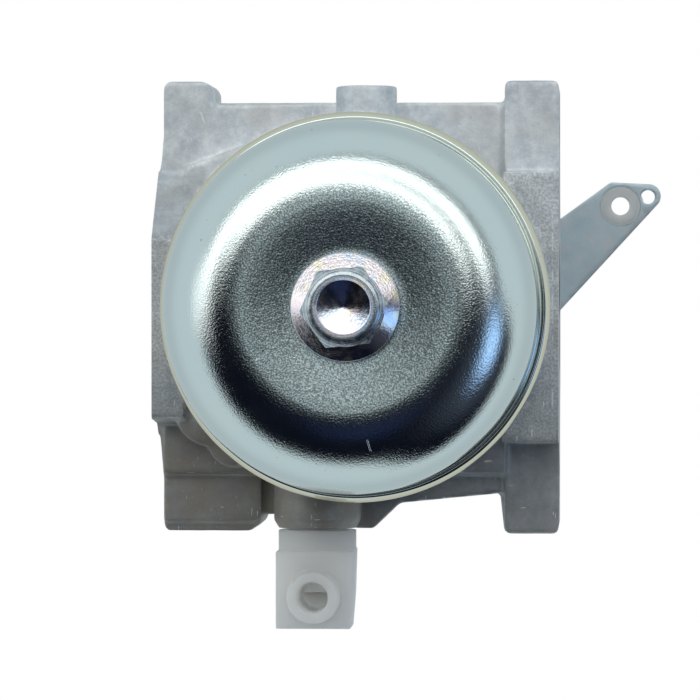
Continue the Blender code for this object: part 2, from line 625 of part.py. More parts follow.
def make_throttle_shaft(parts, tools):
    top = LEVER_Z[1] + 0.3
    profile = [(0.0, top + 0.7), (2.9, top + 0.7), (3.3, top + 0.3), (3.3, top),
               (THROTTLE_SHAFT_R, top), (THROTTLE_SHAFT_R, SHAFT_LOW_Z), (0.0, SHAFT_LOW_Z)]
    axis = (THROTTLE_X, 0.0)
    shaft = turned("throttle_shaft", "Z", axis, profile, parts, MIDDLE)
    flat = new_folder("throttle_flat", tools)
    seat_x = THROTTLE_X - PLATE_T / 2 - GAP
    block("throttle_seat", (seat_x, THROTTLE_X + 4.0), (-4.0, 4.0),
          (-THROTTLE_BORE_R, THROTTLE_BORE_R), flat)
    for name, z in (("throttle_tap_low", -4.5), ("throttle_tap_high", 4.5)):
        rod(name, "X", (0.0, z), (THROTTLE_X - 4.0, THROTTLE_X), 1.3, flat, sides=TINY)
    combine(shaft, "DIFFERENCE", flat)
    return paint(shaft, "bolt_steel")


def make_throttle_plate(parts, tools):
    span = (THROTTLE_X - PLATE_T / 2, THROTTLE_X + PLATE_T / 2)
    plate = rod("throttle_plate", "X", (0.0, 0.0), span, THROTTLE_PLATE_R, parts, sides=LARGE)
    holes = new_folder("throttle_plate_holes", tools)
    pieces = [paint(plate, "brass")]
    for number, z in ((1, -4.5), (2, 4.5)):
        rod(f"throttle_plate_hole_{number}", "X", (0.0, z), (span[0] - 1.0, span[1] + 1.0), 1.3,
            holes, sides=TINY)
        face = span[1] + GAP
        profile = [(0.0, face + 1.0), (1.6, face + 1.0), (2.4, face + 0.4), (2.4, face),
                   (1.2, face), (1.2, THROTTLE_X - 2.2), (0.0, THROTTLE_X - 2.2)]
        screw = turned(f"throttle_plate_screw_{number}", "X", (0.0, z), profile, parts, SMALL)
        pieces.append(paint(screw, "brass"))
    combine(plate, "DIFFERENCE", holes)
    return pieces


def make_throttle_lever(parts, tools):
    pivot = (THROTTLE_X, 0.0)
    eye_r = 6.35
    lever = slab("throttle_lever", "XY", hull((pivot, eye_r), ((-16.2, 7.4), 2.2)), LEVER_Z,
                 parts)
    additions = new_folder("lever_additions", tools)
    arm = hull(((12.6, -15.95), 1.75), ((7.45, -16.95), 1.0), ((THROTTLE_X, 1.0), 6.05))
    slab("lever_arm", "XY", arm, LEVER_Z, additions)
    block("stop_tab", TAB_X, TAB_Y, (TAB_LOW_Z, LEVER_Z[1] - 0.2), additions)
    holes = new_folder("lever_holes", tools)
    lever_hole("lever_shaft_hole", pivot, THROTTLE_SHAFT_R + 0.1, holes)
    lever_hole("lever_bushing_hole", BUSHING_XY, BUSHING_R + 0.08, holes)
    lever_hole("lever_spring_hole", SPRING_HOLE_XY, 1.0, holes)
    combine(lever, "UNION", additions)
    combine(lever, "DIFFERENCE", holes)
    return paint(lever, "lever_steel")


def make_lever_bushing(parts):
    low, high = LEVER_Z[0] - 0.3, LEVER_Z[1] + 0.3
    profile = [(3.4, high + 0.8), (3.4, high), (BUSHING_R, high), (BUSHING_R, low),
               (1.3, low), (1.3, high + 0.8)]
    return paint(turned("lever_bushing", "Z", BUSHING_XY, profile, parts, SMALL), "nylon")


def make_throttle(parts, tools):
    pieces = [make_throttle_shaft(parts, tools), make_throttle_lever(parts, tools),
              make_lever_bushing(parts)]
    pieces += make_throttle_plate(parts, tools)
    hang("throttle_axis", (THROTTLE_X, 0.0, 0.0), pieces, parts)
    seal = ring("throttle_shaft_seal", "Z", (THROTTLE_X, 0.0), SEAL_Z, THROTTLE_SHAFT_R + 0.1,
                5.0, parts)
    paint(seal, "rubber")


# ---------------------------------------------------------------- choke

def make_choke_shaft(parts, tools):
    top = LEVER_Z[1] + 0.3
    profile = [(0.0, top + 0.6), (2.6, top + 0.6), (3.0, top + 0.2), (3.0, top),
               (CHOKE_SHAFT_R, top), (CHOKE_SHAFT_R, SHAFT_LOW_Z), (0.0, SHAFT_LOW_Z)]
    shaft = turned("choke_shaft", "Z", (CHOKE_X, 0.0), profile, parts, MIDDLE)
    flat = new_folder("choke_flat", tools)
    block("choke_seat", (CHOKE_X - 4.0, CHOKE_X + 4.0), (-4.0, PLATE_T / 2 + GAP),
          (-CHOKE_BORE_R, CHOKE_BORE_R), flat)
    for name, z in (("choke_tap_low", -5.0), ("choke_tap_high", 5.0)):
        rod(name, "Y", (CHOKE_X, z), (0.0, 4.0), 1.1, flat, sides=TINY)
    combine(shaft, "DIFFERENCE", flat)
    return paint(shaft, "bolt_steel")


def make_choke_plate(parts, tools):
    half = PLATE_T / 2
    plate = rod("choke_plate", "Y", (CHOKE_X, 0.0), (-half, half), CHOKE_PLATE_R, parts,
                sides=LARGE)
    holes = new_folder("choke_plate_holes", tools)
    pieces = [paint(plate, "brass")]
    for number, z in ((1, -5.0), (2, 5.0)):
        rod(f"choke_plate_hole_{number}", "Y", (CHOKE_X, z), (-2.0, 2.0), 1.1, holes, sides=TINY)
        face = -half - GAP
        profile = [(0.0, 1.9), (1.0, 1.9), (1.0, face), (2.1, face), (2.1, face - 0.4),
                   (1.4, face - 1.0), (0.0, face - 1.0)]
        screw = turned(f"choke_plate_screw_{number}", "Y", (CHOKE_X, z), profile, parts, SMALL)
        pieces.append(paint(screw, "brass"))
    combine(plate, "DIFFERENCE", holes)
    return pieces


def make_choke_lever(parts, tools):
    pivot, tip = (CHOKE_X, 0.0), (-51.0, 11.0)
    lever = slab("choke_lever", "XY", hull((pivot, 4.8), (tip, 2.8)), LEVER_Z, parts)
    holes = new_folder("choke_lever_holes", tools)
    lever_hole("choke_lever_eye", pivot, CHOKE_SHAFT_R + 0.1, holes)
    lever_hole("choke_rod_hole", tip, 1.5, holes)
    combine(lever, "DIFFERENCE", holes)
    return paint(lever, "lever_steel")


def make_choke(parts, tools):
    pieces = [make_choke_shaft(parts, tools), make_choke_lever(parts, tools)]
    pieces += make_choke_plate(parts, tools)
    hang("choke_axis", (CHOKE_X, 0.0, 0.0), pieces, parts)
    seal = ring("choke_shaft_seal", "Z", (CHOKE_X, 0.0), SEAL_Z, CHOKE_SHAFT_R + 0.1, 4.4, parts)
    paint(seal, "rubber")


# ---------------------------------------------------------------- adjusting screws and plugs

def slotted_screw(name, centre_xz, profile, head_y, parts, tools):
    """A screw along Y whose slotted head faces -Y at head_y."""
    screw = turned(name, "Y", centre_xz, profile, parts, SMALL)
    slot = new_folder(name + "_slot", tools)
    x, z = centre_xz
    block(name + "_driver_slot", (x - 0.4, x + 0.4), (head_y - 1.0, head_y + 1.2),
          (z - 5.0, z + 5.0), slot)
    combine(screw, "DIFFERENCE", slot)
    paint(screw, "brass")
    hang(name + "_axis", (x, head_y, z), (screw,), parts)


def make_idle_screw(parts, tools):
    tip, head_low, head_face = TAB_Y[0] - GAP, -14.0, -17.0
    profile = [(0.0, tip), (IDLE_R - 0.6, tip), (IDLE_R, tip - 0.8), (IDLE_R, head_low),
               (3.0, head_low), (3.0, head_face + 0.4), (2.6, head_face), (0.0, head_face)]
    slotted_screw("idle_speed_screw", (IDLE_X, IDLE_Z), profile, head_face, parts, tools)
    spring = coil("idle_screw_spring", (IDLE_X, IDLE_Z),
                  (head_low + GAP, IDLE_BOSS_Y[0] - GAP), 2.6, 0.33, 4, parts)
    paint(spring, "spring_steel")


def make_mixture_screw(parts, tools):
    tip, head_low, head_face = -8.7, -20.6, -23.0
    profile = [(0.0, tip), (0.3, tip), (MIXTURE_R - 0.1, tip - 1.8), (MIXTURE_R, tip - 2.0),
               (MIXTURE_R, head_low), (2.6, head_low), (2.6, head_face + 0.4),
               (2.2, head_face), (0.0, head_face)]
    slotted_screw("mixture_screw", (MIXTURE_X, MIXTURE_Z), profile, head_face, parts, tools)
    spring = coil("mixture_screw_spring", (MIXTURE_X, MIXTURE_Z),
                  (head_low + GAP, MIXTURE_FACE_Y - GAP), 2.1, 0.25, 3.5, parts)
    paint(spring, "spring_steel")


def make_plugs(parts):
    domed = [(0.0, -27.5), (1.9, -27.5), (1.9, -29.8), (1.2, -30.1), (0.0, -30.2)]
    paint(turned("passage_plug", "Y", PASSAGE_XZ, domed, parts, SMALL), "bolt_steel")
    dome = [(0.0, 15.2), (1.8, 15.0), (3.5, 14.5), (3.5, 13.9), (0.0, 13.9)]
    paint(turned("welch_plug", "Z", (BOWL_X, 0.0), dome, parts, SMALL), "brass")


def main():
    clear_scene()
    parts = new_folder("carburetor")
    tools = new_folder("cutters")
    make_body(parts, tools)
    make_bowl(parts)
    make_bolt(parts, tools)
    make_jets(parts)
    make_needle(parts)
    make_float(parts, tools)
    make_inlet(parts, tools)
    make_throttle(parts, tools)
    make_choke(parts, tools)
    make_idle_screw(parts, tools)
    make_mixture_screw(parts, tools)
    make_plugs(parts)


main()
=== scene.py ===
import json
import math

import bmesh
import bpy
from mathutils import Matrix, Vector
from mathutils.geometry import convex_hull_2d


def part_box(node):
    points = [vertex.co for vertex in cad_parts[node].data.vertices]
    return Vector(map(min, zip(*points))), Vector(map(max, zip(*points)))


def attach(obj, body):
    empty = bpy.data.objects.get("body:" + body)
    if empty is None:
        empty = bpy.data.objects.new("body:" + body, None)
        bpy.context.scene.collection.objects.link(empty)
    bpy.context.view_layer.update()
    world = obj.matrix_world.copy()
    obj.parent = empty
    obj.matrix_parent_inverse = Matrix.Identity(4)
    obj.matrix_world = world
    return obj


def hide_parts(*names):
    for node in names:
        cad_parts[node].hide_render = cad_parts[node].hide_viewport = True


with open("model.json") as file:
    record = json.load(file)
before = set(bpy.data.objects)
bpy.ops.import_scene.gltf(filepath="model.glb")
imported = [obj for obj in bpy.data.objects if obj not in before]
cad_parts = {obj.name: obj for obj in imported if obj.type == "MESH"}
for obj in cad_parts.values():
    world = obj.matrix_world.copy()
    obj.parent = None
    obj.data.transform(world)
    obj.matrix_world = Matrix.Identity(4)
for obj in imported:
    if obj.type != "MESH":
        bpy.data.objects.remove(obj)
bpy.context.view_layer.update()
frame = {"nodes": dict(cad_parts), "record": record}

# The looks of a small-engine carburetor. Sizes are in millimetres, and the maker functions turn
# them into metres. The bore runs along X, the float bowl hangs below, and +Y is the fuel side.

MM = 0.001
WELD = 0.000002               # metres: points closer than this become one
AXES = {"X": Vector((1, 0, 0)), "Y": Vector((0, 1, 0)), "Z": Vector((0, 0, 1))}
PLANES = {
    "XY": Matrix.Identity(4),
    "YZ": Matrix(((0, 0, 1, 0), (1, 0, 0, 0), (0, 1, 0, 0), (0, 0, 0, 1))),
    "XZ": Matrix(((1, 0, 0, 0), (0, 0, 1, 0), (0, 1, 0, 0), (0, 0, 0, 1))),
}
BODY_OF = {node: body for body, nodes in frame["record"]["behaviour"]["bodies"].items()
           for node in nodes}


def limits(node):
    """A CAD node's lowest and highest corner, in millimetres."""
    low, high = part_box(node)
    return Vector(low) / MM, Vector(high) / MM


def middle(node):
    """The centre of a CAD node's box, in millimetres."""
    low, high = limits(node)
    return (low + high) / 2


# ---- sizes, taken from the frame

body_low, body_high = limits("body_casting")
bowl_low, bowl_high = limits("float_bowl")
bolt_low, bolt_high = limits("bowl_bolt")
elbow_low, elbow_high = limits("fuel_inlet_elbow")
gasket_low, gasket_high = limits("bowl_gasket")

ENGINE_X = body_high.x
AIR_X = body_low.x
EAR_Y = body_high.y
PEDESTAL_Z = body_low.z
BOWL_X = middle("float_bowl").x
THROTTLE_X = middle("throttle_plate").x
CHOKE_X = middle("choke_plate").x
NEEDLE_X = middle("inlet_needle").x
IDLE_X = middle("idle_speed_screw").x
LIP_R = (bowl_high.x - bowl_low.x) / 2
LIP_TOP_Z = bowl_high.z
BOWL_LOW_Z = bowl_low.z
DRUM_Z = gasket_high.z + 0.3
TOWER_TOP_Z = limits("throttle_shaft_seal")[0].z - 0.3
LEVER_TOP_Z = limits("choke_lever")[1].z
LEVER_LOW_Z = limits("choke_lever")[0].z
INLET_Z = middle("inlet_o_ring").z
IDLE_Z = middle("idle_speed_screw").z
INLET_FACE_Y = 30.3
MIXTURE_FACE_Y = -17.0
REGISTER_LOW_Z = -21.0        # the ring that centres the bowl ends here

# Straight lines along X, Y or Z, each given by its other two coordinates.
BORE = (0.0, 0.0)
BOWL = (BOWL_X, 0.0)
THROTTLE = (THROTTLE_X, 0.0)
CHOKE = (CHOKE_X, 0.0)
NEEDLE = middle("inlet_needle").xy
PILOT = middle("pilot_jet").xy
BUSHING = middle("lever_bushing").xy
SPIGOT = (NEEDLE_X, 39.3)
INLET = (NEEDLE_X, INLET_Z)
IDLE = (IDLE_X, IDLE_Z)
MIXTURE = middle("mixture_screw").xz
PASSAGE = middle("passage_plug").xz


# ---- shapes, added to one bmesh

def foot_of(axis, line):
    """The point of a line along X, Y or Z that is level with the origin."""
    point = list(line)
    point.insert("XYZ".index(axis), 0.0)
    return Vector(point)


def rounded(points, radius, closed, steps=4):
    """Replace each corner of an outline with a short curve. A third value is its own radius."""
    longest = 0.45            # of the shorter edge at a corner
    flat = [Vector(point[:2]) for point in points]
    smooth = []
    for i, corner in enumerate(flat):
        reach = points[i][2] if len(points[i]) > 2 else radius
        if reach == 0 or (not closed and i in (0, len(flat) - 1)):
            smooth.append(corner)
            continue
        before = flat[i - 1] - corner
        after = flat[(i + 1) % len(flat)] - corner
        reach = min(reach, before.length * longest, after.length * longest)
        start = corner + before.normalized() * reach
        end = corner + after.normalized() * reach
        for k in range(steps + 1):
            t = k / steps
            smooth.append(start.lerp(corner, t).lerp(corner.lerp(end, t), t))
    return smooth


def turned(bm, axis, line, profile, edge=0.0, steps=96):
    """Add a turned shape. Profile points are (radius, place along the axis) round its section."""
    closed = profile[0][0] > 0
    foot = foot_of(axis, line)
    turn = AXES["Z"].rotation_difference(AXES[axis]).to_matrix().to_4x4()
    matrix = Matrix.Translation(foot) @ turn
    verts = [bm.verts.new(matrix @ Vector((point.x, 0.0, point.y)) * MM)
             for point in rounded(profile, edge, closed)]
    edges = [bm.edges.new(pair) for pair in zip(verts, verts[1:])]
    if closed:
        edges.append(bm.edges.new((verts[-1], verts[0])))
    bmesh.ops.spin(bm, geom=verts + edges, cent=foot * MM, axis=AXES[axis], angle=math.tau,
                   steps=steps, use_merge=True)
    bmesh.ops.remove_doubles(bm, verts=bm.verts, dist=WELD)


def rod(bm, axis, line, span, radius, end_radius=None, edge=0.0, steps=64):
    """Add a cylinder, or a cone when end_radius differs, from span[0] to span[1]."""
    end = radius if end_radius is None else end_radius
    profile = [(0.0, span[1]), (end, span[1]), (radius, span[0]), (0.0, span[0])]
    turned(bm, axis, line, profile, edge, steps)


def soften(bm, edges, size, segments):
    bmesh.ops.bevel(bm, geom=list(edges), offset=size * MM, segments=segments, profile=0.5,
                    affect="EDGES")


def block(bm, x, y, z, edge=0.0):
    """Add a box from three (low, high) pairs."""
    low, high = (Vector((x[i], y[i], z[i])) for i in (0, 1))
    made = bmesh.ops.create_cube(bm, size=MM)["verts"]
    bmesh.ops.scale(bm, vec=high - low, verts=made)
    bmesh.ops.translate(bm, vec=(low + high) / 2 * MM, verts=made)
    if edge:
        soften(bm, {e for v in made for e in v.link_edges}, edge, 4)


def slab(bm, plane, outline, span):
    """Add a flat outline in one of the PLANES, given its thickness."""
    matrix = PLANES[plane]
    face = bm.faces.new([bm.verts.new(matrix @ Vector((*point, span[0])) * MM)
                         for point in outline])
    grown = bmesh.ops.extrude_face_region(bm, geom=[face], use_keep_orig=True)["geom"]
    lift = matrix.to_3x3() @ AXES["Z"] * (span[1] - span[0]) * MM
    bmesh.ops.translate(bm, vec=lift, verts=[v for v in grown if isinstance(v, bmesh.types.BMVert)])


def circle_points(centre, radius, sides=64):
    angles = (math.tau * i / sides for i in range(sides))
    return [(centre[0] + radius * math.cos(a), centre[1] + radius * math.sin(a)) for a in angles]


def hull(*circles):
    """The outline of a band stretched round circles, each ((u, v), radius)."""
    points = [point for centre, radius in circles for point in circle_points(centre, radius)]
    return [points[i] for i in convex_hull_2d(points)]


# ---- objects

def preset(thing, **values):
    """Set some of a thing's attributes, and give it back."""
    for key, value in values.items():
        setattr(thing, key, value)
    return thing


def added(name, data):
    """Make an object and put it in the scene."""
    made = bpy.data.objects.new(name, data)
    bpy.context.scene.collection.objects.link(made)
    return made


def as_object(bm, crease=35):
    """Make an object of the shape in bm, with its faces out and its round sides smooth."""
    bmesh.ops.remove_doubles(bm, verts=bm.verts, dist=WELD)
    bmesh.ops.recalc_face_normals(bm, faces=bm.faces)
    mesh = bpy.data.meshes.new("shape")
    bm.to_mesh(mesh)
    bm.free()
    mesh.shade_smooth()
    mesh.set_sharp_from_angle(angle=math.radians(crease))
    return added("shape", mesh)


def shaped(maker, crease=35):
    """Run a function that adds shapes to a bmesh, and make one object of them."""
    bm = bmesh.new()
    maker(bm)
    return as_object(bm, crease)


def bake(piece, crease=35):
    """Apply a piece's modifiers, or turn a curve into a welded mesh."""
    bpy.context.view_layer.update()
    graph = bpy.context.evaluated_depsgraph_get()
    mesh = bpy.data.meshes.new_from_object(piece.evaluated_get(graph))
    bpy.data.objects.remove(piece, do_unlink=True)
    bm = bmesh.new()
    bm.from_mesh(mesh)
    bpy.data.meshes.remove(mesh)
    return as_object(bm, crease)


def joined(target, operation, tool, solver="EXACT", crease=35):
    """Join a tool to target, or cut it from target, and use the tool up."""
    preset(target.modifiers.new("step", "BOOLEAN"), operation=operation, solver=solver,
           object=tool)
    before = len(target.data.vertices)
    result = bake(target, crease)
    bpy.data.objects.remove(tool, do_unlink=True)
    if len(result.data.vertices) == before:
        raise RuntimeError(f"a {operation} changed nothing")
    return result


def cut(target, tool, solver="EXACT", crease=35):
    """Cut a tool from target, and use the tool up."""
    return joined(target, "DIFFERENCE", tool, solver, crease)


def drilled(target, axis, line, span, radius, steps=24, solver="EXACT"):
    """Cut a round hole in target."""
    return cut(target, shaped(lambda bm: rod(bm, axis, line, span, radius, steps=steps)), solver)


def lathe(axis, line, profile, edge=0.0, steps=96, crease=35):
    """Make one object of a turned shape."""
    return shaped(lambda bm: turned(bm, axis, line, profile, edge, steps), crease)


def stamped(outline, holes, span, edge=0.15):
    """A stamped plate: a flat outline with holes, whose edges are a little rounded."""
    curve = preset(bpy.data.curves.new("plate", "CURVE"), dimensions="2D", fill_mode="BOTH",
                   offset=-edge * MM, bevel_depth=edge * MM, bevel_resolution=3,
                   extrude=((span[1] - span[0]) / 2 - edge) * MM)
    for ring in (outline, *holes):
        spline = curve.splines.new("POLY")
        spline.points.add(len(ring) - 1)
        for point, (x, y) in zip(spline.points, ring):
            point.co = (x * MM, y * MM, 0.0, 1.0)
        spline.use_cyclic_u = True
    piece = bake(added("plate", curve))
    piece.data.transform(Matrix.Translation(AXES["Z"] * ((span[0] + span[1]) / 2 * MM)))
    return piece


def wound(line, span_y, radius, wire_r, turns):
    """A compression spring along Y, with its last turn at each end wound close."""
    per_turn, closeness = 32, 0.09
    count = int(turns * per_turn)
    low, high = span_y[0] + wire_r, span_y[1] - wire_r
    curve = preset(bpy.data.curves.new("spring", "CURVE"), dimensions="3D",
                   bevel_depth=wire_r * MM, bevel_resolution=4, use_fill_caps=True)
    spline = curve.splines.new("POLY")
    spline.points.add(count)
    for i, point in enumerate(spline.points):
        angle = math.tau * i / per_turn
        share = i / count
        rise = share - math.sin(math.tau * share) * closeness
        point.co = ((line[0] + radius * math.cos(angle)) * MM, (low + (high - low) * rise) * MM,
                    (line[1] + radius * math.sin(angle)) * MM, 1.0)
    return bake(added("spring", curve), 60)


def threads(radius, start, end, pitch=0.7, depth=0.32):
    """Profile points of a thread, as ring grooves, from one place along the axis to another."""
    way, crest = 1 if end > start else -1, 0.12
    points = []
    for i in range(int(abs(end - start) / pitch)):
        base = start + way * pitch * i
        points += [(radius, base + way * crest), (radius - depth, base + way * pitch / 2),
                   (radius, base + way * (pitch - crest))]
    return points


# ---- node wiring

class Wiring:
    """Adds nodes to a material's or world's tree."""

    def __init__(self, tree):
        self.tree = tree

    def add(self, kind, inputs=None, **settings):
        node = preset(self.tree.nodes.new("ShaderNode" + kind), **settings)
        for key, value in (inputs or {}).items():
            self.feed(node.inputs[key], value)
        return node

    def feed(self, socket, value):
        if isinstance(value, bpy.types.NodeSocket):
            self.tree.links.new(value, socket)
        else:
            socket.default_value = value

    def math(self, operation, *values):
        node = self.add("Math", dict(enumerate(values)), operation=operation)
        return node.outputs[0]

    def times(self, first, second):
        return self.math("MULTIPLY", first, second)

    def plus(self, first, second):
        return self.math("ADD", first, second)

    def most(self, first, second):
        return self.math("MAXIMUM", first, second)

    def vector(self, operation, *values):
        node = self.add("VectorMath", dict(enumerate(values)), operation=operation)
        return node.outputs["Value" if operation in ("LENGTH", "DOT_PRODUCT") else "Vector"]

    def smooth(self, value, low, high, start=0.0, end=1.0):
        """A smooth step from start to end while value goes from low to high."""
        node = self.add("MapRange", {"Value": value, "From Min": low, "From Max": high,
                                     "To Min": start, "To Max": end},
                        interpolation_type="SMOOTHSTEP")
        return node.outputs["Result"]

    def spread(self, grain, start, end):
        """From start to end over the values that a noise mostly takes."""
        return self.smooth(grain, 0.3, 0.7, start, end)

    def mix(self, share, first, second, blend="MIX"):
        """Mix two colours; the numbers are the colour sockets of the node."""
        node = self.add("Mix", data_type="RGBA", blend_type=blend)
        for index, value in ((0, share), (6, first), (7, second)):
            colour = isinstance(value, tuple)
            self.feed(node.inputs[index], (*value, 1.0) if colour else value)
        return node.outputs[2]

    def noise(self, place, size, detail=2.0, roughness=0.5, stretch=None):
        """Noise with spots of about this size, in millimetres."""
        if stretch:
            place = self.vector("MULTIPLY", place, stretch)
        node = self.add("TexNoise", {"Vector": place, "Scale": 1 / (size * MM), "Detail": detail,
                                     "Roughness": roughness})
        return node.outputs[0]


class Finish(Wiring):
    """A procedural material: a Principled shader and the nodes that feed it. Sizes are in
    millimetres, but x, y, z and distances, read from the object's coordinates, are in metres."""

    def __init__(self, name, **sockets):
        self.material = bpy.data.materials.new(name)
        self.material.use_nodes = True
        super().__init__(self.material.node_tree)
        self.shader = self.tree.nodes["Principled BSDF"]
        self.place = self.add("TexCoord").outputs["Object"]
        self.x, self.y, self.z = self.add("SeparateXYZ", {0: self.place}).outputs
        self.set(**sockets)

    def set(self, **sockets):
        for key, value in sockets.items():
            if isinstance(value, tuple) and len(value) == 3 and key != "subsurface_radius":
                value = (*value, 1.0)
            self.feed(self.shader.inputs[key.replace("_", " ").title()], value)

    def done(self, tone, roughness, normal):
        """Feed the shader's main sockets, and give the material."""
        self.set(base_color=tone, roughness=roughness, normal=normal)
        return self.material

    def bump(self, height, depth, normal=None):
        """Lower or raise the surface by up to depth, in millimetres."""
        inputs = {"Height": height, "Distance": depth * MM, "Strength": 1.0}
        if normal:
            inputs["Normal"] = normal
        return self.add("Bump", inputs).outputs["Normal"]

    def grain(self, size, **settings):
        return self.noise(self.place, size, **settings)

    def scratches(self, size, stretch, level):
        """Thin lines where a drawn-out noise passes a level: 1 on a scratch, 0 elsewhere."""
        streak = self.noise(self.place, size, detail=1.0, stretch=stretch)
        return self.smooth(streak, level, level + 0.02)

    def from_bolt(self):
        """The distance from the bowl's axis."""
        out = self.vector("SUBTRACT", self.place, (BOWL_X * MM, 0.0, 0.0))
        return self.vector("LENGTH", self.vector("MULTIPLY", out, (1.0, 1.0, 0.0)))

    def nick_and_highlight_line(self, start, end, width):
        """One thin line, between two points of the XY plane: 1 on it, 0 elsewhere. It draws
        scratches, and painted edge highlights.
        """
        span = Vector(end) - Vector(start)
        way = span.normalized()
        half = (Vector(start) + Vector(end)) / 2 * MM
        flat = self.vector("MULTIPLY", self.place, (1.0, 1.0, 0.0))
        off = self.vector("SUBTRACT", flat, (*half, 0.0))
        reach = []
        for axis, limit in (((*way, 0.0), span.length / 2), ((-way.y, way.x, 0.0), width / 2)):
            away = self.math("ABSOLUTE", self.vector("DOT_PRODUCT", off, axis))
            reach.append(self.smooth(away, limit * 0.6 * MM, limit * MM, 1.0, 0.0))
        return self.times(*reach)


# ---- materials

def cast_aluminium():
    """Die-cast skin: mottled, sandy low down, with grime by the inlet, painted shade on the fuel
    side and on a lobe's flank, and painted edge highlights on the block.
    """
    f = Finish("cast_aluminium", metallic=0.55)
    mottle = f.smooth(f.grain(3.0, detail=6.0, roughness=0.72), 0.30, 0.70)
    tone = f.mix(mottle, (0.62, 0.67, 0.71), (0.95, 0.98, 1.0))
    warm = f.times(f.smooth(f.grain(9.0, detail=3.0), 0.48, 0.66), 0.4)
    tone = f.mix(warm, tone, (0.74, 0.71, 0.67))
    # Painted shade: a dark band on the air-side flank of a lobe, where that side falls in shade.
    mid = f.times(f.smooth(f.y, -0.021, -0.015), f.smooth(f.y, 0.006, -0.004))
    flank_shade = f.times(f.times(mid, f.smooth(f.x, -0.044, -0.049)), 0.22)
    # Painted shade: faces that look down grow darker towards the fuel side, where the bowl shades
    # them, and the lobe's flank band joins in.
    underside = f.smooth(f.z, 0.007, -0.004)
    edge = f.plus(f.y, f.times(f.x, -0.045))
    painted_shade = f.plus(f.smooth(edge, 0.002, 0.019, 0.0, 0.30),
                  f.smooth(edge, 0.0168, 0.0192, 0.0, 0.20))
    painted_shade = f.times(f.most(painted_shade, flank_shade), underside)
    tone = f.mix(painted_shade, tone, (0.02, 0.022, 0.024))
    near = f.times(f.smooth(f.y, 0.011, 0.019), f.smooth(f.x, -0.018, -0.030))
    grime = f.smooth(f.grain(4.0, detail=4.0, roughness=0.6), 0.2, 0.7, 0.35, 0.85)
    tone = f.mix(f.times(near, grime), tone, (0.30, 0.265, 0.22))
    low = f.smooth(f.z, -0.0160, -0.0168)
    pits = f.smooth(f.grain(0.34, detail=2.0), 0.40, 0.60, 0.34, 0.0)
    tone = f.mix(f.times(pits, f.plus(f.times(low, 0.85), 0.15)), tone, (0.20, 0.21, 0.22))
    specks = f.smooth(f.grain(0.45, detail=2.0), 0.64, 0.72, 0.0, 0.15)
    tone = f.mix(specks, tone, (0.93, 0.94, 0.95))
    scratches_and_highlights = f.most(f.scratches(1.6, (5.0, 0.7, 1.0), 0.75),
                  f.scratches(2.1, (0.8, 4.0, 1.0), 0.77))
    scratches_and_highlights = f.most(scratches_and_highlights, f.nick_and_highlight_line((-49.6, -27.2), (-48.9, -25.2), 0.28))
    # Painted edge highlights: broken pale lines along two edges of the block's low face, where a
    # burr would catch light.
    edge_highlight = f.most(f.nick_and_highlight_line((-9.0, -18.4), (-0.7, -18.4), 0.34),
                  f.nick_and_highlight_line((-0.8, -18.4), (-0.8, 18.0), 0.30))
    edge_highlight = f.times(edge_highlight, f.smooth(f.grain(1.2, detail=2.0), 0.42, 0.55))
    scratches_and_highlights = f.most(scratches_and_highlights, f.times(edge_highlight, low))
    # The scratches, and the painted edge highlights, lighten the tone.
    tone = f.mix(f.times(scratches_and_highlights, 0.7), tone, (1.0, 1.0, 1.0))
    sand = f.times(f.grain(0.34, detail=3.0), f.plus(f.times(low, 0.05), 0.006))
    normal = f.bump(sand, 1.0, f.bump(f.grain(3.2, detail=1.0), 0.03))
    return f.done(tone, f.spread(f.grain(1.8, detail=3.0), 0.46, 0.60),
                  f.bump(f.grain(0.16, detail=1.0), 0.004, normal))


def machined_aluminium():
    f = Finish("machined_aluminium", metallic=0.75)
    from_bore = f.vector("LENGTH", f.vector("MULTIPLY", f.place, (0.0, 1.0, 1.0)))
    rings = f.noise(f.add("CombineXYZ", {0: from_bore}).outputs[0], 0.16, detail=3.0)
    tone = f.mix(rings, (0.58, 0.60, 0.62), (0.76, 0.77, 0.78))
    tone = f.mix(f.times(f.grain(4.0, detail=3.0), 0.35), tone, (0.46, 0.47, 0.48))
    return f.done(tone, f.spread(rings, 0.40, 0.54), f.bump(rings, 0.008))


def zinc_steel():
    """Bright zinc over deep-drawn sheet: fine sparkling grain, pale blue-green, a yellow lip, and a
    painted dark reflection on the flat bottom.
    """
    f = Finish("zinc_steel", metallic=1.0)
    tone = f.mix(f.grain(9.0, detail=3.0), (0.74, 0.86, 0.87), (0.80, 0.88, 0.86))
    lip = f.smooth(f.z, (LIP_TOP_Z - 2.2) * MM, (LIP_TOP_Z - 1.5) * MM)
    tone = f.mix(lip, tone, (0.84, 0.80, 0.62))
    spots = f.smooth(f.grain(0.7, detail=1.0), 0.24, 0.19, 0.0, 0.45)
    tone = f.mix(spots, tone, (0.42, 0.40, 0.34))
    # Painted reflection: the flat bottom goes dark in a fine grain, for the dark that it reflects,
    # and keeps bright specks between.
    flat = f.smooth(f.from_bolt(), 0.0142, 0.0172, 0.62, 0.0)
    dark_reflection_grain = f.smooth(f.grain(0.22, detail=2.0), 0.40, 0.62, 1.0, 0.0)
    tone = f.mix(f.times(flat, dark_reflection_grain), tone, (0.08, 0.09, 0.10))
    drawn = f.smooth(f.z, -0.031, -0.037)
    peel = f.times(f.grain(0.24, detail=2.0, roughness=0.6), drawn)
    normal = f.bump(f.grain(6.0, detail=1.0), 0.015)
    normal = f.bump(peel, 0.025, normal)
    nicks = f.most(f.nick_and_highlight_line((-39.3, 6.9), (-38.3, 5.6), 0.30),
                   f.nick_and_highlight_line((-24.8, 17.2), (-24.3, 19.0), 0.22))
    return f.done(tone, f.spread(f.grain(2.5, detail=3.0), 0.08, 0.12),
                  f.bump(nicks, -0.05, normal))


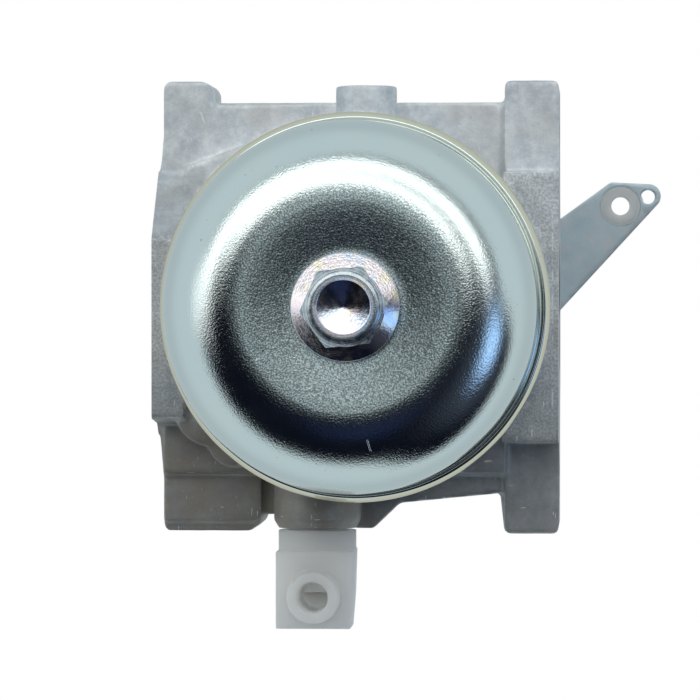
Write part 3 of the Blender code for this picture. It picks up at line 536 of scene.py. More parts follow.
def bolt_steel():
    """Bright turned steel with a faint colour play, and a duller rolled rim on the hexagon."""
    f = Finish("bolt_steel", metallic=1.0)
    warm = f.smooth(f.grain(3.0, detail=2.0), 0.40, 0.55)
    tint = f.mix(warm, (0.72, 0.80, 0.93), (0.90, 0.84, 0.88))
    tint = f.mix(f.smooth(f.grain(1.7, detail=2.0), 0.53, 0.68), tint, (0.90, 0.86, 0.70))
    out = f.from_bolt()
    head = f.smooth(f.z, (bolt_low.z + 1.2) * MM, (bolt_low.z + 0.9) * MM)
    head = f.times(head, f.smooth(out, 0.00385, 0.00405))
    rings = f.noise(f.add("CombineXYZ", {0: out}).outputs[0], 0.14, detail=2.0)
    streaks = f.plus(f.times(rings, 0.8), f.times(f.grain(1.0), 0.2))
    streaks = f.mix(f.smooth(streaks, 0.40, 0.60), (0.22, 0.29, 0.38), (0.82, 0.88, 0.88))
    tint = f.mix(head, tint, streaks)
    polish = f.spread(f.grain(1.0, detail=2.0), 0.10, 0.20)
    return f.done(tint, f.plus(polish, f.times(head, 0.12)),
                  f.bump(f.grain(0.35, detail=2.0), 0.014, f.bump(rings, 0.006)))


def lever_steel():
    f = Finish("lever_steel", metallic=0.9)
    tone = f.mix(f.grain(3.5, detail=5.0, roughness=0.6), (0.50, 0.62, 0.68), (0.80, 0.90, 0.93))
    warm = f.times(f.smooth(f.grain(2.4, detail=3.0), 0.50, 0.66), 0.4)
    tone = f.mix(warm, tone, (0.78, 0.76, 0.76))
    return f.done(tone, f.spread(f.grain(1.2, detail=3.0), 0.36, 0.52),
                  f.bump(f.grain(0.22, detail=2.0), 0.014))


def nylon():
    f = Finish("nylon", roughness=0.42, subsurface_weight=0.9, subsurface_scale=0.012,
               subsurface_radius=(1.0, 0.96, 0.90))
    f.set(base_color=f.mix(f.grain(3.0, detail=3.0), (1.0, 0.94, 0.87), (1.0, 0.97, 0.91)))
    f.set(normal=f.bump(f.grain(0.8, detail=3.0), 0.015))
    return f.material


def brass():
    f = Finish("brass", metallic=1.0)
    tone = f.mix(f.grain(1.6, detail=3.0), (0.52, 0.34, 0.13), (0.78, 0.58, 0.26))
    return f.done(tone, f.spread(f.grain(0.9, detail=3.0), 0.22, 0.42),
                  f.bump(f.grain(0.3, detail=2.0), 0.008))


def rubber():
    f = Finish("rubber")
    tone = f.mix(f.grain(1.2, detail=3.0), (0.012, 0.012, 0.013), (0.035, 0.035, 0.036))
    return f.done(tone, f.spread(f.grain(0.8, detail=2.0), 0.55, 0.75),
                  f.bump(f.grain(0.25, detail=2.0), 0.02))


def gasket_paper():
    f = Finish("gasket_paper")
    fibres = f.noise(f.place, 0.5, detail=4.0, stretch=(1.0, 3.0, 1.0))
    tone = f.mix(fibres, (0.045, 0.050, 0.048), (0.13, 0.14, 0.13))
    return f.done(tone, f.spread(fibres, 0.80, 0.95), f.bump(fibres, 0.03))


def float_plastic():
    f = Finish("float_plastic")
    cells = f.add("TexVoronoi", {"Vector": f.place, "Scale": 1 / (0.45 * MM)}).outputs["Distance"]
    tone = f.mix(cells, (0.025, 0.025, 0.027), (0.06, 0.06, 0.062))
    return f.done(tone, f.spread(f.grain(1.0), 0.55, 0.7), f.bump(cells, 0.03))


def spring_steel():
    f = Finish("spring_steel", metallic=1.0)
    drawn = f.noise(f.place, 0.4, detail=3.0, stretch=(1.0, 4.0, 1.0))
    tone = f.mix(drawn, (0.36, 0.37, 0.38), (0.60, 0.61, 0.62))
    return f.done(tone, f.spread(drawn, 0.25, 0.42), f.bump(drawn, 0.006))


FINISHES = {make.__name__: make() for make in (
    cast_aluminium, zinc_steel, bolt_steel, lever_steel, nylon, brass, rubber, gasket_paper,
    float_plastic, spring_steel)}


def stand_in(piece, node, slot):
    """Give a piece its name, material and body, and let it stand for a CAD node."""
    piece.name = piece.data.name = node + "_fine"
    piece.data.materials.clear()
    piece.data.materials.append(FINISHES[slot])
    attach(piece, BODY_OF[node])
    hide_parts(node)


# ---- body casting

FLANGE_T = 7.5
EAR_HALF_Z = 7.5
FLANGE_TOP_Z = 13.3
BLOCK_LOW_Z = -17.0
WEB_Z = (-6.2, -3.4)
BARREL_R = 14.5
REGISTER_R = 23.3
CHAMBER_R = 22.0
CEILING_Z = -14.0
STUD_Y = 23.5
STUD_R = 3.25
BORE_R = 11.5                 # at its wide end
PROUD = 0.7                   # how far a rough face stands out before it is machined
GRID = 0.34                   # the casting's first mesh
CLOSE = 0.02                  # a face this near to a machined plane lies in it
SQUARE = 0.999                # a normal's share along an axis from which it counts as square


def mirrored(half):
    """A whole flange outline from its +Y half, listed from the bottom to the top."""
    return half + [(-y, z) for y, z in reversed(half)]


def add_flanges(bm):
    engine_half = [(18.4, BLOCK_LOW_Z), (18.4, -EAR_HALF_Z), (22.5, -EAR_HALF_Z),
                   (22.5, EAR_HALF_Z), (14.5, 9.8), (10.5, FLANGE_TOP_Z)]
    slab(bm, "YZ", mirrored(engine_half), (ENGINE_X - FLANGE_T, ENGINE_X + PROUD))
    thick_z = (-EAR_HALF_Z, EAR_HALF_Z)
    tip, back = EAR_Y - 0.05, ENGINE_X - FLANGE_T
    for side in (-1, 1):
        corners = [(back, 20.0), (back, tip - 1.0, 0.9), (back + 0.15, tip, 0.9),
                   (ENGINE_X - 0.2, tip, 0.9), (ENGINE_X, tip - 1.1, 0.7), (ENGINE_X + PROUD, 20.0)]
        outline = [(x, side * y) for x, y in rounded(corners, 0.0, True)]
        slab(bm, "XY", outline, thick_z)
    draft = [(-8.4, 24.0), (-7.0, 24.0), (-7.0, tip - 0.1), (-7.6, tip - 0.1)]
    slab(bm, "XY", draft, (-4.4, 4.4))
    groove = [(-8.2, WEB_Z[0] - 0.1), (-7.2, -EAR_HALF_Z + 0.1), (-7.2, WEB_Z[0] + 0.4),
              (-8.2, WEB_Z[0] + 0.4)]
    slab(bm, "XZ", groove, (-27.8, -18.0))
    ear_x, back_x = AIR_X + 0.7, AIR_X + 4.6
    far = [(ear_x, -16.0), (ear_x, -30.5), (-54.0, -31.25), (-49.3, -31.25), (-48.3, -30.8),
           (-47.9, -29.9), (-47.9, -16.0)]
    slab(bm, "XY", far, thick_z)
    near = [(ear_x, 12.0), (-41.05, 12.0), (-41.05, 28.9), (-41.6, 29.6), (ear_x, 29.6)]
    slab(bm, "XY", near, thick_z)
    foot = [(ear_x, 28.0), (-41.05, 28.0), (-41.05, 28.9), (-41.3, 29.85), (-42.6, 30.95),
            (-54.2, 30.95), (ear_x, 30.3)]
    slab(bm, "XY", foot, (-EAR_HALF_Z + 0.7, EAR_HALF_Z - 0.7))
    middle_outline = [(15.2, BLOCK_LOW_Z), (16.0, -9.4), (17.4, -EAR_HALF_Z + 0.1), (15.4, 9.4),
                      (10.5, FLANGE_TOP_Z), (-10.5, FLANGE_TOP_Z), (-16.5, 9.0),
                      (-18.5, -EAR_HALF_Z + 0.1), (-9.4, BLOCK_LOW_Z)]
    slab(bm, "YZ", middle_outline, (AIR_X - PROUD, back_x))
    for y, run_out in ((-17.6, -23.5), (16.6, 23.5)):
        blend = [(AIR_X + 0.1, y), (-52.0, y), (-52.0, run_out), (ear_x, run_out)]
        slab(bm, "XY", blend, (-EAR_HALF_Z + 0.1, EAR_HALF_Z - 0.1))


def add_webs(bm):
    web = [(-52.0, -28.3), (-5.0, -28.3), (-5.0, 25.4), (-22.0, 27.1), (-25.6, 30.6),
           (-28.6, 30.6), (-28.6, 28.7), (-52.0, 28.7)]
    slab(bm, "XY", web, WEB_Z)
    ramp = [(-48.5, WEB_Z[0] + 0.5), (-48.5, -EAR_HALF_Z + 0.02), (-34.0, WEB_Z[0]),
            (-34.0, WEB_Z[0] + 0.5)]
    slab(bm, "XZ", ramp, (-28.2, -16.0))
    root = [(-54.6, -10.0), (-49.0, -17.5), (-7.2, -17.5), (-7.2, 22.9), (-54.6, 22.9)]
    slab(bm, "XY", root, (-9.2, WEB_Z[1]))


def add_bosses(bm):
    lobe_z = (-15.8, WEB_Z[1])
    for lobe in ((((-49.7, -18.1), 1.45), ((-38.5, -20.9), 2.7), ((-46.2, -13.5), 5.0)),
                 (((-47.3, 13.8), 5.2), ((-40.0, 15.0), 5.0)),
                 (((-44.3, 18.2), 3.6), ((-38.0, 17.0), 4.0))):
        slab(bm, "XY", hull(*lobe), lobe_z)
    rod(bm, "Y", PASSAGE, (-30.4, -10.0), 4.2)
    rod(bm, "Y", INLET, (8.0, INLET_FACE_Y - 1.0), 6.0)
    rod(bm, "Y", INLET, (INLET_FACE_Y - 1.05, INLET_FACE_Y + PROUD), 6.0, 4.9)
    rod(bm, "Z", THROTTLE, (5.0, TOWER_TOP_Z + PROUD), 5.5)
    rod(bm, "Z", CHOKE, (5.0, TOWER_TOP_Z + PROUD), 4.8)
    rod(bm, "Y", IDLE, (-8.0, -3.0), 3.0)
    block(bm, (IDLE_X - 2.9, IDLE_X + 2.9), (-7.9, -3.1), (9.0, IDLE_Z))
    rod(bm, "Y", MIXTURE, (MIXTURE_FACE_Y - PROUD, -8.0), 3.6)
    rod(bm, "Z", BOWL, (10.0, 15.5), 4.6)


def add_drum(bm):
    rod(bm, "Z", BOWL, (DRUM_Z - PROUD, -8.8), 26.2, steps=128)
    rod(bm, "Z", BOWL, (REGISTER_LOW_Z - PROUD, -16.0), REGISTER_R + PROUD, steps=128)


def add_parting_line(bm):
    """A thin ridge where the halves of the die met, along both sides of the barrel."""
    slab(bm, "XY", [(-50.0, -14.8), (-7.0, -14.8), (-7.0, 14.8), (-50.0, 14.8)], (-0.25, 0.25))


def rough_casting():
    """The casting as it leaves the die: closed shapes, melted together and a little uneven."""
    bm = bmesh.new()
    rod(bm, "X", BORE, (AIR_X + 1.0, ENGINE_X - 1.0), BARREL_R, steps=96)
    for add in (add_flanges, add_webs, add_bosses, add_drum, add_parting_line):
        add(bm)
    stock = as_object(bm)
    waves = preset(bpy.data.textures.new("skin", "CLOUDS"), noise_scale=3.0 * MM)
    for kind, settings in (
            ("REMESH", {"mode": "VOXEL", "voxel_size": GRID * MM, "use_smooth_shade": True}),
            ("SMOOTH", {"factor": 0.5, "iterations": 5}),
            ("DISPLACE", {"texture": waves, "strength": 0.08 * MM, "mid_level": 0.6}),
            ("DECIMATE", {"ratio": 0.4})):
        preset(stock.modifiers.new("step", kind), **settings)
    return bake(stock)


def casting_faces(bm):
    """Everything that the milling and turning tools take off the outside."""
    for start, end in ((ENGINE_X, ENGINE_X + 3.0), (AIR_X - 3.0, AIR_X)):
        block(bm, (start, end), (-40.0, 40.0), (-24.0, 24.0))
    for tower in (THROTTLE, CHOKE):
        rod(bm, "Z", tower, (TOWER_TOP_Z, TOWER_TOP_Z + 2.0), 5.9)
    rod(bm, "Y", INLET, (INLET_FACE_Y, INLET_FACE_Y + 3.0), 7.0)
    rod(bm, "Y", MIXTURE, (-20.0, MIXTURE_FACE_Y), 4.6)
    seat = [(0.0, REGISTER_LOW_Z), (REGISTER_R - 0.4, REGISTER_LOW_Z), (REGISTER_R, -20.6),
            (REGISTER_R, DRUM_Z), (30.0, DRUM_Z), (30.0, -25.0), (0.0, -25.0)]
    turned(bm, "Z", BOWL, seat, steps=160)


def chamber_shape(bm):
    profile = [(0.0, -22.0), (CHAMBER_R, -22.0), (CHAMBER_R, CEILING_Z, 1.5), (0.0, CEILING_Z)]
    turned(bm, "Z", BOWL, profile, 0.0, 128)


def inside_shapes(bm):
    """The fuel pedestal, needle guide, pilot boss and hinge posts that hang in the chamber."""
    root_z = CEILING_Z + 1.0
    pedestal = [(0.0, root_z), (6.4, root_z), (6.2, CEILING_Z), (5.0, CEILING_Z - 2.0, 1.5),
                (5.0, PEDESTAL_Z, 0.4), (0.0, PEDESTAL_Z)]
    turned(bm, "Z", BOWL, pedestal, 0.0, 64)
    rod(bm, "Z", NEEDLE, (-17.5, root_z), 4.2)
    rod(bm, "Z", PILOT, (-19.5, root_z), 3.2)
    pin = middle("float_hinge_pin")
    for side in (-1, 1):
        x = pin.x + side * 5.5
        block(bm, (x - 1.0, x + 1.0), (pin.y - 2.0, pin.y + 2.0), (-20.8, root_z), 0.3)


def bore_shape(bm):
    """The bore, with its narrow throat and the flare at the air side."""
    profile = [(0.0, ENGINE_X + 1.0), (9.0, ENGINE_X + 1.0), (9.0, -22.0, 3.0),
               (7.5, -26.0, 2.0), (7.5, -30.0, 2.0), (BORE_R, -40.0, 3.0), (BORE_R, AIR_X + 0.6),
               (12.6, AIR_X - 0.5), (0.0, AIR_X - 0.5)]
    turned(bm, "X", BORE, profile, 0.0, 128)


def through_holes():
    """The other holes, each as (axis, line, span, radius)."""
    pin = middle("float_hinge_pin")
    through_x = (AIR_X - 1.0, ENGINE_X + 1.0)
    return [
        ("X", (-STUD_Y, 0.0), through_x, STUD_R),
        ("X", (STUD_Y, 0.0), through_x, STUD_R),
        ("Z", THROTTLE, (-12.7, 19.3), 2.56),
        ("Z", CHOKE, (-12.7, 19.3), 2.26),
        ("Z", BOWL, (PEDESTAL_Z - 1.0, -31.0), 3.05),
        ("Z", BOWL, (-32.0, -6.0), 2.5),
        ("Y", (BOWL_X, -29.0), (-6.0, 6.0), 1.2),
        ("Z", PILOT, (-20.5, -14.5), 1.9),
        ("Z", (-46.0, -4.0), (-15.0, -9.5), 1.0),
        ("Z", NEEDLE, (-18.5, -11.0), 2.6),
        ("Z", NEEDLE, (-11.5, INLET_Z), 1.1),
        ("Y", INLET, (10.6, 24.0), 1.5),
        ("Y", INLET, (22.2, 31.3), 4.1),
        ("X", (pin.y, pin.z), (-39.5, -23.5), 1.05),
        ("Y", PASSAGE, (-31.0, -24.0), 2.0),
        ("Y", IDLE, (-9.0, -2.0), 2.01),
        ("Y", MIXTURE, (-18.0, -4.0), 1.56),
        ("Z", BOWL, (13.6, 16.5), 3.6),
    ]


def is_machined(face):
    """Whether a face lies in one of the planes or the bore that a tool has cut."""
    centre, normal = face.center / MM, face.normal
    if abs(normal.x) > SQUARE and (centre.x > ENGINE_X - CLOSE or centre.x < AIR_X + CLOSE):
        return True
    if abs(normal.z) > SQUARE and (centre.z > TOWER_TOP_Z - CLOSE
                                   or abs(centre.z - DRUM_Z) < CLOSE
                                   or centre.z < REGISTER_LOW_Z + CLOSE):
        return True
    if abs(normal.y) > SQUARE and (abs(centre.y - INLET_FACE_Y) < CLOSE
                                   or abs(centre.y - MIXTURE_FACE_Y) < CLOSE):
        return True
    return math.hypot(centre.y, centre.z) < BORE_R + 0.1 and abs(normal.x) < 0.5


def make_casting():
    casting = cut(rough_casting(), shaped(casting_faces), "MANIFOLD")
    casting = cut(casting, shaped(chamber_shape), "MANIFOLD")
    casting = joined(casting, "UNION", shaped(inside_shapes), "MANIFOLD")
    casting = cut(casting, shaped(bore_shape), "MANIFOLD")
    for hole in through_holes():
        casting = drilled(casting, *hole, 48, "MANIFOLD")
    stand_in(casting, "body_casting", "cast_aluminium")
    casting.data.materials.append(machined_aluminium())
    for face in casting.data.polygons:
        face.material_index = int(is_machined(face))


# ---- float bowl and its bolt

SHEET_T = 0.8
WALL_R = 24.8
SHOULDER_WIDTH = 11.0
SHOULDER_HEIGHT = 7.5
DISHED = 0.45                 # how far the bottom rises towards the bolt


def shoulder(inset, steps=40):
    """Points round the bowl's oval shoulder, from its wall down to its bottom."""
    centre_r, centre_z = WALL_R - SHOULDER_WIDTH, BOWL_LOW_Z + SHOULDER_HEIGHT
    width, height = SHOULDER_WIDTH - inset, SHOULDER_HEIGHT - inset
    angles = (math.pi / 2 * i / steps for i in range(steps + 1))
    return [(centre_r + width * math.cos(a), centre_z - height * math.sin(a), 0) for a in angles]


def make_bowl():
    foot_r, dish_z = WALL_R - SHOULDER_WIDTH, BOWL_LOW_Z + DISHED
    outer = [(LIP_R - 1.0, LIP_TOP_Z, 0.2), (LIP_R, LIP_TOP_Z, 0.5), (LIP_R, -20.15, 0.35),
             (LIP_R - 0.7, -20.85, 0.35), (25.2, -20.75, 0.15), (WALL_R, -21.4, 0.3)]
    outer += shoulder(0.0)
    outer += [(foot_r - 3.0, BOWL_LOW_Z + DISHED * 0.45, 1.2), (7.6, dish_z, 0.6),
              (3.2, dish_z, 0.1)]
    inner = [(3.2, dish_z + SHEET_T, 0.1), (7.6, dish_z + SHEET_T, 0.6)]
    inner += shoulder(SHEET_T, 20)[::-1]
    inner += [(WALL_R - SHEET_T, -22.2, 0.4), (WALL_R - 0.1, LIP_TOP_Z, 0.2)]
    stand_in(lathe("Z", BOWL, outer + inner, 0.0, 200, 50), "float_bowl", "zinc_steel")
    section = [(25.8, gasket_high.z), (25.8, gasket_low.z), (24.0, gasket_low.z),
               (24.0, gasket_high.z)]
    stand_in(lathe("Z", BOWL, section, 0.15, 128), "bowl_gasket", "gasket_paper")


def bolt_body(bm):
    """The threaded shank and the sloping flange, up to inside the hexagon."""
    low = bolt_low.z + 3.6
    slope = [(7.1 - 1.9 * t, low + 0.35 - 0.787 * t, 0) for t in (0.06, 0.5, 0.94)]
    profile = [(0.0, bolt_high.z), (2.4, bolt_high.z), (2.95, bolt_high.z - 0.6)]
    profile += threads(2.95, bolt_high.z - 0.8, -40.0)
    profile += [(2.6, -40.3), (2.6, low + 1.3), (7.0, low + 1.3, 0.15), (7.2, low + 0.9, 0.15),
                (7.1, low + 0.35, 0.1), *slope, (5.2, low - 0.437, 0.1), (0.0, low - 0.437)]
    turned(bm, "Z", BOWL, profile, 0.05, 96)


def hexagon(bm):
    """The bolt's head, 10 mm across its flats."""
    turn = math.radians(-6.0)
    corner_r = 5.0 / math.cos(math.pi / 6)
    corners = [(BOWL_X + corner_r * math.cos(turn + math.pi / 3 * i),
                corner_r * math.sin(turn + math.pi / 3 * i), 0.25) for i in range(6)]
    slab(bm, "XY", rounded(corners, 0.25, True), (bolt_low.z, bolt_low.z + 3.8))


def hex_chamfer(bm):
    low = bolt_low.z
    profile = [(0.0, low + 4.5), (7.0, low + 4.5), (7.0, low + 1.9), (5.1, low + 0.35, 0.4),
               (4.35, low, 0.25), (0.0, low)]
    turned(bm, "Z", BOWL, profile, 0.0, 96)


def bolt_dish(bm):
    low = bolt_low.z
    slope = [(3.55 * t, low + 1.10 - 0.65 * t) for t in (0.0, 0.06, 0.5, 0.94)]
    profile = slope + [(3.55, low + 0.45, 0.15), (3.9, low - 0.1, 0.15), (4.1, low - 0.5),
                       (0.0, low - 0.5)]
    turned(bm, "Z", BOWL, profile, 0.0, 96)


def make_bolt():
    crease = 25
    head = joined(shaped(hexagon), "INTERSECT", shaped(hex_chamfer), crease=crease)
    bolt = joined(shaped(bolt_body), "UNION", head, crease=crease)
    bolt = cut(bolt, shaped(bolt_dish), crease=crease)
    stand_in(bolt, "bowl_bolt", "bolt_steel")
    low, high = limits("bolt_washer")
    section = [(6.5, high.z + 0.4), (6.5, low.z), (3.2, low.z), (3.2, high.z + 0.4)]
    stand_in(lathe("Z", BOWL, section, 0.15), "bolt_washer", "gasket_paper")


# ---- fuel inlet elbow

def elbow_block(bm):
    """The elbow's square part: its outer top corner is cut off, and one side tapers."""
    root_y, taper = 33.3, 0.03
    side = [(root_y, -15.5), (elbow_high.y, -15.5), (elbow_high.y, -8.0), (39.5, elbow_high.z),
            (root_y, elbow_high.z)]
    slab(bm, "YZ", side, (elbow_low.x, elbow_high.x))
    soften(bm, bm.edges, 0.2, 3)
    for vert in bm.verts:
        if vert.co.x > NEEDLE_X * MM:
            vert.co.x -= 0.25 * MM + taper * (vert.co.y - root_y * MM)


def elbow_neck(bm):
    profile = [(0.0, 34.5), (5.35, 34.5), (5.35, INLET_FACE_Y + 0.3, 0.15),
               (4.0, INLET_FACE_Y + 0.3), (4.0, elbow_low.y, 0.4), (0.0, elbow_low.y)]
    turned(bm, "Y", INLET, profile, 0.0, 64)


def elbow_spigot(bm):
    low = elbow_low.z
    profile = [(0.0, -14.5), (3.8, -14.5), (3.8, -16.0, 0.2), (3.0, -16.3, 0.3), (3.0, -18.9),
               (3.65, -18.9, 0.1), (3.4, low, 0.15), (0.0, low)]
    turned(bm, "Z", SPIGOT, profile, 0.05, 96)


def elbow_way(bm):
    low = elbow_low.z
    profile = [(0.0, INLET_Z), (2.0, INLET_Z), (2.12, low + 0.3), (2.3, low - 0.1),
               (2.3, low - 1.0), (0.0, low - 1.0)]
    turned(bm, "Z", SPIGOT, profile, 0.0, 64)


def make_elbow():
    elbow = shaped(elbow_block)
    for maker in (elbow_neck, elbow_spigot):
        elbow = joined(elbow, "UNION", shaped(maker))
    elbow = cut(elbow, shaped(elbow_way))
    elbow = drilled(elbow, "Y", INLET, (24.0, SPIGOT[1]), 1.8, 64)
    stand_in(elbow, "fuel_inlet_elbow", "nylon")


# ---- shafts, plates and levers

def make_shaft(node, line, radius, seat, taps, tap_axis):
    """A shaft with a flat seat and two tapped holes, each (line, span, radius), for its plate."""
    low, high = limits(node)
    head_r = (high.y - low.y) / 2
    shoulder_z = LEVER_TOP_Z + 0.3
    profile = [(0.0, high.z), (head_r - 0.4, high.z, 0.3), (head_r, high.z - 0.4, 0.2),
               (head_r, shoulder_z, 0.1), (radius, shoulder_z), (radius, low.z, 0.3),
               (0.0, low.z)]
    shaft = cut(lathe("Z", line, profile, 0.05), shaped(seat))
    for tap in taps:
        shaft = drilled(shaft, tap_axis, *tap)
    stand_in(shaft, node, "bolt_steel")


def make_plate(node, axis, line, hole_z, hole_r):
    """A round butterfly plate with a turned edge and two screw holes."""
    low, high = limits(node)
    index = "XYZ".index(axis)
    span = (low[index], high[index])
    radius = (high.z - low.z) / 2
    plate = shaped(lambda bm: rod(bm, axis, line, span, radius, edge=0.12, steps=128))
    for z in hole_z:
        plate = drilled(plate, axis, (line[0], z), (span[0] - 1, span[1] + 1), hole_r)
    stand_in(plate, node, "brass")


def make_plate_screw(node, axis, head_side):
    """A pan-head screw; head_side is +1 or -1, the way its head looks."""
    low, high = limits(node)
    index = "XYZ".index(axis)
    top, tip = (high[index], low[index]) if head_side > 0 else (low[index], high[index])
    head_r = (high.z - low.z) / 2
    shank_r = head_r * 0.5
    point = middle(node)
    line = [point[i] for i in range(3) if i != index]
    base = top - head_side * 1.0
    profile = [(0.0, top), (head_r * 0.6, top, 0.3), (head_r, top - head_side * 0.5, 0.2),
               (head_r, base, 0.05), (shank_r, base), (shank_r, tip), (0.0, tip)]
    screw = lathe(axis, line, profile, 0.03, 48)
    point[index] = top
    for arm in (0, 1):
        screw = cut(screw, shaped(lambda bm: one_arm(bm, index, point, head_r * 0.55, arm)))
    stand_in(screw, node, "brass")


def one_arm(bm, index, point, reach, arm):
    """One arm of a cross recess in a head whose axis is the index-th."""
    across = [i for i in range(3) if i != index]
    size = Vector((0.22, 0.22, 0.22))
    size[across[arm]] = reach
    size[index] = 0.55
    low, high = point - size, point + size
    block(bm, (low.x, high.x), (low.y, high.y), (low.z, high.z))


def make_throttle():
    seat_x = (THROTTLE_X - 0.7, THROTTLE_X + 4.0)
    make_shaft("throttle_shaft", THROTTLE, 2.5,
               lambda bm: block(bm, seat_x, (-4.0, 4.0), (-9.0, 9.0)),
               [((0.0, z), (THROTTLE_X - 4.0, THROTTLE_X), 1.3) for z in (-4.5, 4.5)], "X")
    make_plate("throttle_plate", "X", BORE, (-4.5, 4.5), 1.3)
    for number in (1, 2):
        make_plate_screw(f"throttle_plate_screw_{number}", "X", 1)
    make_throttle_lever()
    low, high = limits("lever_bushing")
    flange_z = LEVER_TOP_Z + 0.3
    section = [(3.4, high.z, 0.25), (3.4, flange_z, 0.1), (2.7, flange_z), (2.7, low.z, 0.25),
               (1.3, low.z, 0.3), (1.3, high.z, 0.3)]
    stand_in(lathe("Z", BUSHING, section), "lever_bushing", "nylon")


def make_throttle_lever():
    """A plate from the shaft to the bushing, with a tab that meets the idle speed screw."""
    low, top = LEVER_LOW_Z, LEVER_TOP_Z
    tab_z = (limits("throttle_lever")[0].z, top - 0.2)
    eye = hull((THROTTLE, 6.35), ((-16.2, 7.4), 2.2))
    arm = hull(((12.6, -15.95), 1.75), ((7.45, -16.95), 1.0), ((THROTTLE_X, 1.0), 6.05))
    holes = [(THROTTLE, 2.6), (BUSHING, 2.78), ((12.5, -15.85), 1.0)]
    lever = joined(stamped(eye, [], (low, top)), "UNION", stamped(arm, [], (low, top)))
    tab = shaped(lambda bm: block(bm, (-17.8, -14.6), (6.7, 8.3), tab_z, 0.3))
    lever = joined(lever, "UNION", tab)
    for line, radius in holes:
        wide = radius + 0.25
        section = [(0.0, top + 0.1), (wide, top + 0.1), (wide, top), (radius, top - 0.2),
                   (radius, low + 0.2), (wide, low), (wide, low - 0.1), (0.0, low - 0.1)]
        lever = cut(lever, lathe("Z", line, section, 0.0, 64))
    stand_in(lever, "throttle_lever", "lever_steel")


def make_choke():
    seat_x = (CHOKE_X - 4.0, CHOKE_X + 4.0)
    make_shaft("choke_shaft", CHOKE, 2.2,
               lambda bm: block(bm, seat_x, (-4.0, 0.7), (-11.5, 11.5)),
               [((CHOKE_X, z), (0.0, 4.0), 1.1) for z in (-5.0, 5.0)], "Y")
    make_plate("choke_plate", "Y", (CHOKE_X, 0.0), (-5.0, 5.0), 1.1)
    for number in (1, 2):
        make_plate_screw(f"choke_plate_screw_{number}", "Y", -1)
    tip = (-51.0, 11.0)
    outline = hull((CHOKE, 4.8), (tip, 2.8))
    lever = stamped(outline, [circle_points(CHOKE, 2.3), circle_points(tip, 1.5, 48)],
                    (LEVER_LOW_Z, LEVER_TOP_Z))
    stand_in(lever, "choke_lever", "lever_steel")


def make_seals():
    for node, line, inner in (("throttle_shaft_seal", THROTTLE, 2.6),
                              ("choke_shaft_seal", CHOKE, 2.3)):
        low, high = limits(node)
        outer = (high.y - low.y) / 2
        section = [(outer, high.z, 0.5), (outer, low.z, 0.5), (inner, low.z, 0.2),
                   (inner, high.z - 0.2, 0.2), (inner + 0.7, high.z - 0.5, 0.2),
                   (inner + 1.1, high.z, 0.2)]
        stand_in(lathe("Z", line, section), node, "rubber")


# ---- adjusting screws and plugs

def make_adjuster(node, profile):
    """A slotted adjusting screw along Y, whose head looks at -Y."""
    low = limits(node)[0]
    centre = middle(node)
    screw = lathe("Y", centre.xz, profile, 0.05, 64)
    slot = shaped(lambda bm: block(bm, (centre.x - 0.4, centre.x + 0.4), (low.y - 1.0, low.y + 1.2),
                                   (centre.z - 5.0, centre.z + 5.0)))
    stand_in(cut(screw, slot), node, "brass")


def make_adjusters():
    tip = limits("idle_speed_screw")[1].y
    profile = [(0.0, tip), (1.35, tip, 0.2), (1.95, tip - 0.8)]
    profile += threads(1.95, tip - 1.0, -13.0)
    profile += [(1.7, -13.6), (1.7, -14.0), (3.0, -14.0, 0.2), (3.0, -16.5, 0.4), (2.4, -17.0, 0.3),
                (0.0, -17.0)]
    make_adjuster("idle_speed_screw", profile)
    profile = [(0.0, -8.7), (0.25, -8.75), (1.4, -10.5), (1.5, -10.7, 0.1)]
    profile += threads(1.5, -11.2, -16.8, 0.5, 0.22)
    profile += [(1.35, -17.2), (1.35, -20.6), (2.6, -20.6, 0.2), (2.6, -22.6, 0.3),
                (2.1, -23.0, 0.2), (0.0, -23.0)]
    make_adjuster("mixture_screw", profile)
    for node, turns, wire_r in (("idle_screw_spring", 5.0, 0.33),
                                ("mixture_screw_spring", 4.5, 0.25)):
        low, high = limits(node)
        radius = (high.z - low.z) / 2 - wire_r
        spring = wound(middle(node).xz, (low.y, high.y), radius, wire_r, turns)
        stand_in(spring, node, "spring_steel")


def make_plugs():
    low, high = limits("passage_plug")
    domed = [(0.0, high.y), (1.9, high.y, 0.2), (1.9, low.y + 0.4, 0.2), (1.2, low.y + 0.1, 0.2),
             (0.0, low.y)]
    stand_in(lathe("Y", PASSAGE, domed, 0.0, 64), "passage_plug", "bolt_steel")
    low, high = limits("welch_plug")
    dome = [(0.0, high.z), (1.8, high.z - 0.2, 0.5), (3.5, high.z - 0.7, 0.2), (3.5, low.z, 0.1),
            (0.0, low.z)]
    stand_in(lathe("Z", BOWL, dome), "welch_plug", "brass")


def finish_hidden_pieces():
    """The pieces inside the bowl keep their CAD shapes and get their materials."""
    kept = {
        "brass": ("main_jet", "main_nozzle", "pilot_jet", "inlet_needle"),
        "rubber": ("needle_seat", "inlet_o_ring"),
        "spring_steel": ("float_hinge_pin", "float_arm", "needle_clip"),
        "float_plastic": ("float",),
    }
    for slot, nodes in kept.items():
        for node in nodes:
            mesh = frame["nodes"][node].data
            mesh.materials.clear()
            mesh.materials.append(FINISHES[slot])


# ---- camera, light and floor

